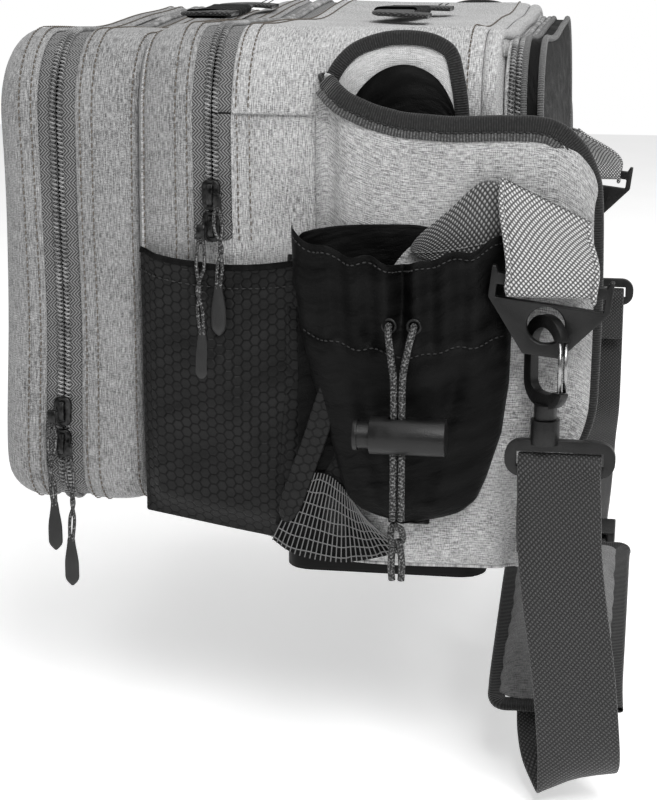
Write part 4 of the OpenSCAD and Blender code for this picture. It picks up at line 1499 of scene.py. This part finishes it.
def add_strap():
    """Shoulder webbing from one D-loop to the other, folded over itself where it turns back."""
    route = np.array(STRAP_ROUTE, float)
    path = smooth_path(route, 420)
    t = tangents(path)
    near = path[:, 0] > 190
    level = ease(-path[:, 2], 20, 84) * near
    lean = np.stack([np.zeros(len(path)), np.ones(len(path)), 0.34 * level], 1)
    out = unit(np.cross(t, lean))
    strap = sweep("shoulder_strap", path, slab_profile(STRAP_W, 1.9), STRAP_WEB, up=out)
    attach(strap, "strap")
    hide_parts("strap_webbing")
    rows = []
    for dy in (-14, -5, 5, 14):
        rows.append(np.array([(238.6, 138.3 + dy - 4, 41), (238.6, 138.3 + dy + 4, 40.2)]))
    for dz in (0.0, -6.0):
        a = np.array([(239.2, 120.5, 40.5 + dz), (239.2, 156.0, 39.2 + dz)])
        rows.append(evenly(a, 20))
    stitches("strap_stitching", rows, THREAD_BLACK, "strap", 2.8, 2.0, 0.45)


def pad_grid(width, thick, path, rows_across=17):
    """A closed pad along a path: crowned faces and thin edges."""
    t = tangents(path)
    out = unit(np.cross(t, Y_AXIS))
    ends = np.minimum(np.linspace(0, 1, len(path)), np.linspace(1, 0, len(path)))
    crown_along = np.sqrt(np.clip(ends / 0.09, 0.05, 1))
    grid = []
    for p, n, c in zip(path, out, crown_along):
        ring_points = []
        for a in np.linspace(0, 2 * math.pi, 2 * rows_across, endpoint=False):
            across = math.copysign(abs(math.cos(a)) ** 0.55, math.cos(a)) * width / 2 * (0.94 + 0.06 * c)
            high = math.copysign(abs(math.sin(a)) ** 0.8, math.sin(a)) * thick / 2 * c
            ring_points.append(p + Y_AXIS * across + n * high)
        grid.append(ring_points)
    return np.array(grid)


UP_ONLY = np.array([0.0, 0.0, 1.0])


def puff_up(obj, cap_mm):
    """Lets the pad's cover settle over its filling: a remesh, then cloth under pressure, with its rise capped."""
    remesh = obj.modifiers.new("remesh", "REMESH")
    remesh.mode = "VOXEL"
    remesh.voxel_size = 4.5 * MM
    bpy.context.view_layer.objects.active = obj
    bpy.context.view_layer.update()
    apply_modifiers(obj)
    start = np.array([v.co for v in obj.data.vertices], float)
    cloth = obj.modifiers.new("cloth", "CLOTH")
    cloth.settings.use_pressure = True
    cloth.settings.uniform_pressure_force = 4
    cloth.settings.effector_weights.gravity = 0
    scene = bpy.context.scene
    for number in range(1, 21):
        scene.frame_set(number)
    apply_modifiers(obj)
    end = np.array([v.co for v in obj.data.vertices], float)
    move = (end - start) * UP_ONLY
    size = np.linalg.norm(move, axis=1, keepdims=True)
    move *= np.minimum(1, cap_mm * MM / np.maximum(size, 1e-9))
    obj.data.vertices.foreach_set("co", (start + move).astype(np.float32).ravel())
    obj.data.update()
    scene.frame_set(1)
    lay_weave(obj.data)


def lay_weave(mesh, axes=(0, 1), least=0.0):
    """Lays the weave flat along two axes, in metres, on faces turned at least `least` towards the third."""
    layer = mesh.uv_layers.get("weave") or mesh.uv_layers.new(name="weave")
    third = 3 - sum(axes)
    for face in mesh.polygons:
        if abs(face.normal[third]) < least:
            continue
        for corner in face.loop_indices:
            place = mesh.vertices[mesh.loops[corner].vertex_index].co
            layer.data[corner].uv = (place[axes[0]], place[axes[1]])


def apply_modifiers(obj):
    """Replaces an object's mesh with the result of its modifiers."""
    graph = bpy.context.evaluated_depsgraph_get()
    made = bpy.data.meshes.new_from_object(obj.evaluated_get(graph))
    obj.modifiers.clear()
    obj.data = made
    made.polygons.foreach_set("use_smooth", np.ones(len(made.polygons), bool))


def add_pad():
    """The padded sleeve on the strap, with a bound edge."""
    route = smooth_path(STRAP_ROUTE[PAD_FROM:PAD_TO + 1], 60)
    t = tangents(route)
    out = unit(np.cross(t, Y_AXIS))
    middle = route + out * -(PAD_T / 2 + 1.2)
    body = skin("shoulder_pad_body", pad_grid(PAD_W - 5, PAD_T - 1.5, middle), PAD_CLOTH, around=True,
                caps=True)
    puff_up(body, 4.0)
    smooth = body.modifiers.new("smooth", "SUBSURF")
    smooth.levels = smooth.render_levels = 1
    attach(body, "strap")
    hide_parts("shoulder_pad")
    half = PAD_W / 2 - 3
    first, last = middle[1], middle[-2]
    side_a = middle[1:-1] + Y_AXIS * half
    side_b = (middle[1:-1] - Y_AXIS * half)[::-1]
    cross_a = np.linspace(last + Y_AXIS * half, last - Y_AXIS * half, 24)[1:-1]
    cross_b = np.linspace(first - Y_AXIS * half, first + Y_AXIS * half, 24)[1:-1]
    loop = np.vstack([side_a, cross_a, side_b, cross_b, side_a[:1]])
    loop = smooth_path(loop[::3], 220)
    rim = sweep("shoulder_pad_binding", loop, slab_profile(9, 3.6, 4), BINDING,
                up=np.array([0.35, 0.0, 1.0]), caps=False, subdivide=1)
    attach(rim, "strap")


def add_handles():
    """Two carry handles that lie on the lid and the front edge, each with a wrapped grip."""
    parts = (("front_handle", -56, "front_handle"), ("rear_handle", 52, "rear_handle"))
    for name, y, body in parts:
        path = smooth_path([(-58, y, 283), (-58, y - 8, 283.4), (-57, y - 15, 283.6),
                            (-50, y - 21.6, 283.6), (-38, y - 22, 283.6),
                            (0, y - 22, 283.6), (38, y - 22, 283.6), (50, y - 21.6, 283.6),
                            (57, y - 15, 283.6), (58, y - 8, 283.4),
                            (58, y + 0, 283)], 120)
        path = slack(path)
        path[:, 2] += 0.6
        web = sweep(name + "_web", path, slab_profile(22, 2.4), HANDLE_WEB, up=Z_AXIS, subdivide=0)
        grip_line = path[34:86]
        grip = sweep(name + "_grip_wrap", grip_line, slab_profile(25, 5.2, 5), NYLON, up=Z_AXIS,
                     subdivide=1)
        for obj, node in ((web, name + "_webbing"), (grip, name + "_wrap")):
            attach(obj, body)
            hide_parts(node)
        rows = [slack(np.array([(x, y + dy, 286.2) for x in xs])) for dy in (-3,
                                                                             -7) for xs in ((-66, -50),
                                                                                            (50, 66))]
        stitches(name + "_stitching", rows, THREAD_BLACK, body, 2.8, 2.0, 0.4)


def dress_frame():
    """Materials and softened edges for the frame's own pieces that stay."""
    for node in ("strap_rings", "strap_loops", "hook_near", "hook_far", "tri_glide"):
        dress(node, PLASTIC, 0.7)
    for node in ("cord_lock_near", "cord_lock_far", "lock_plunger_near", "lock_plunger_far"):
        dress(node, PLASTIC, 0.6)
    for node in ("hook_gate_near", "hook_gate_far"):
        dress(node, STEEL, 0.0)
    dress("base_panel", BASE_CLOTH, 2.5)
    dress("base_board", BOARD, 0.6)
    dress("ball_cup", FOAM, 2.0)
    dress("divider_pad", FOAM, 2.0)


add_drawcords()
add_front_gusset()
add_main_gusset()
add_front_cover()
add_end_walls()
add_lid()
add_main_panels()
add_underside()
add_back_shoulders()
add_rear_pocket()
add_zips()
add_sliders()
add_wraps()
add_pocket_back()
add_honeycomb_pockets()
add_drawstring_pockets()
add_pocket_sides()
add_strips()
add_nets()
add_anchors()
add_strap()
add_pad()
add_handles()
dress_frame()
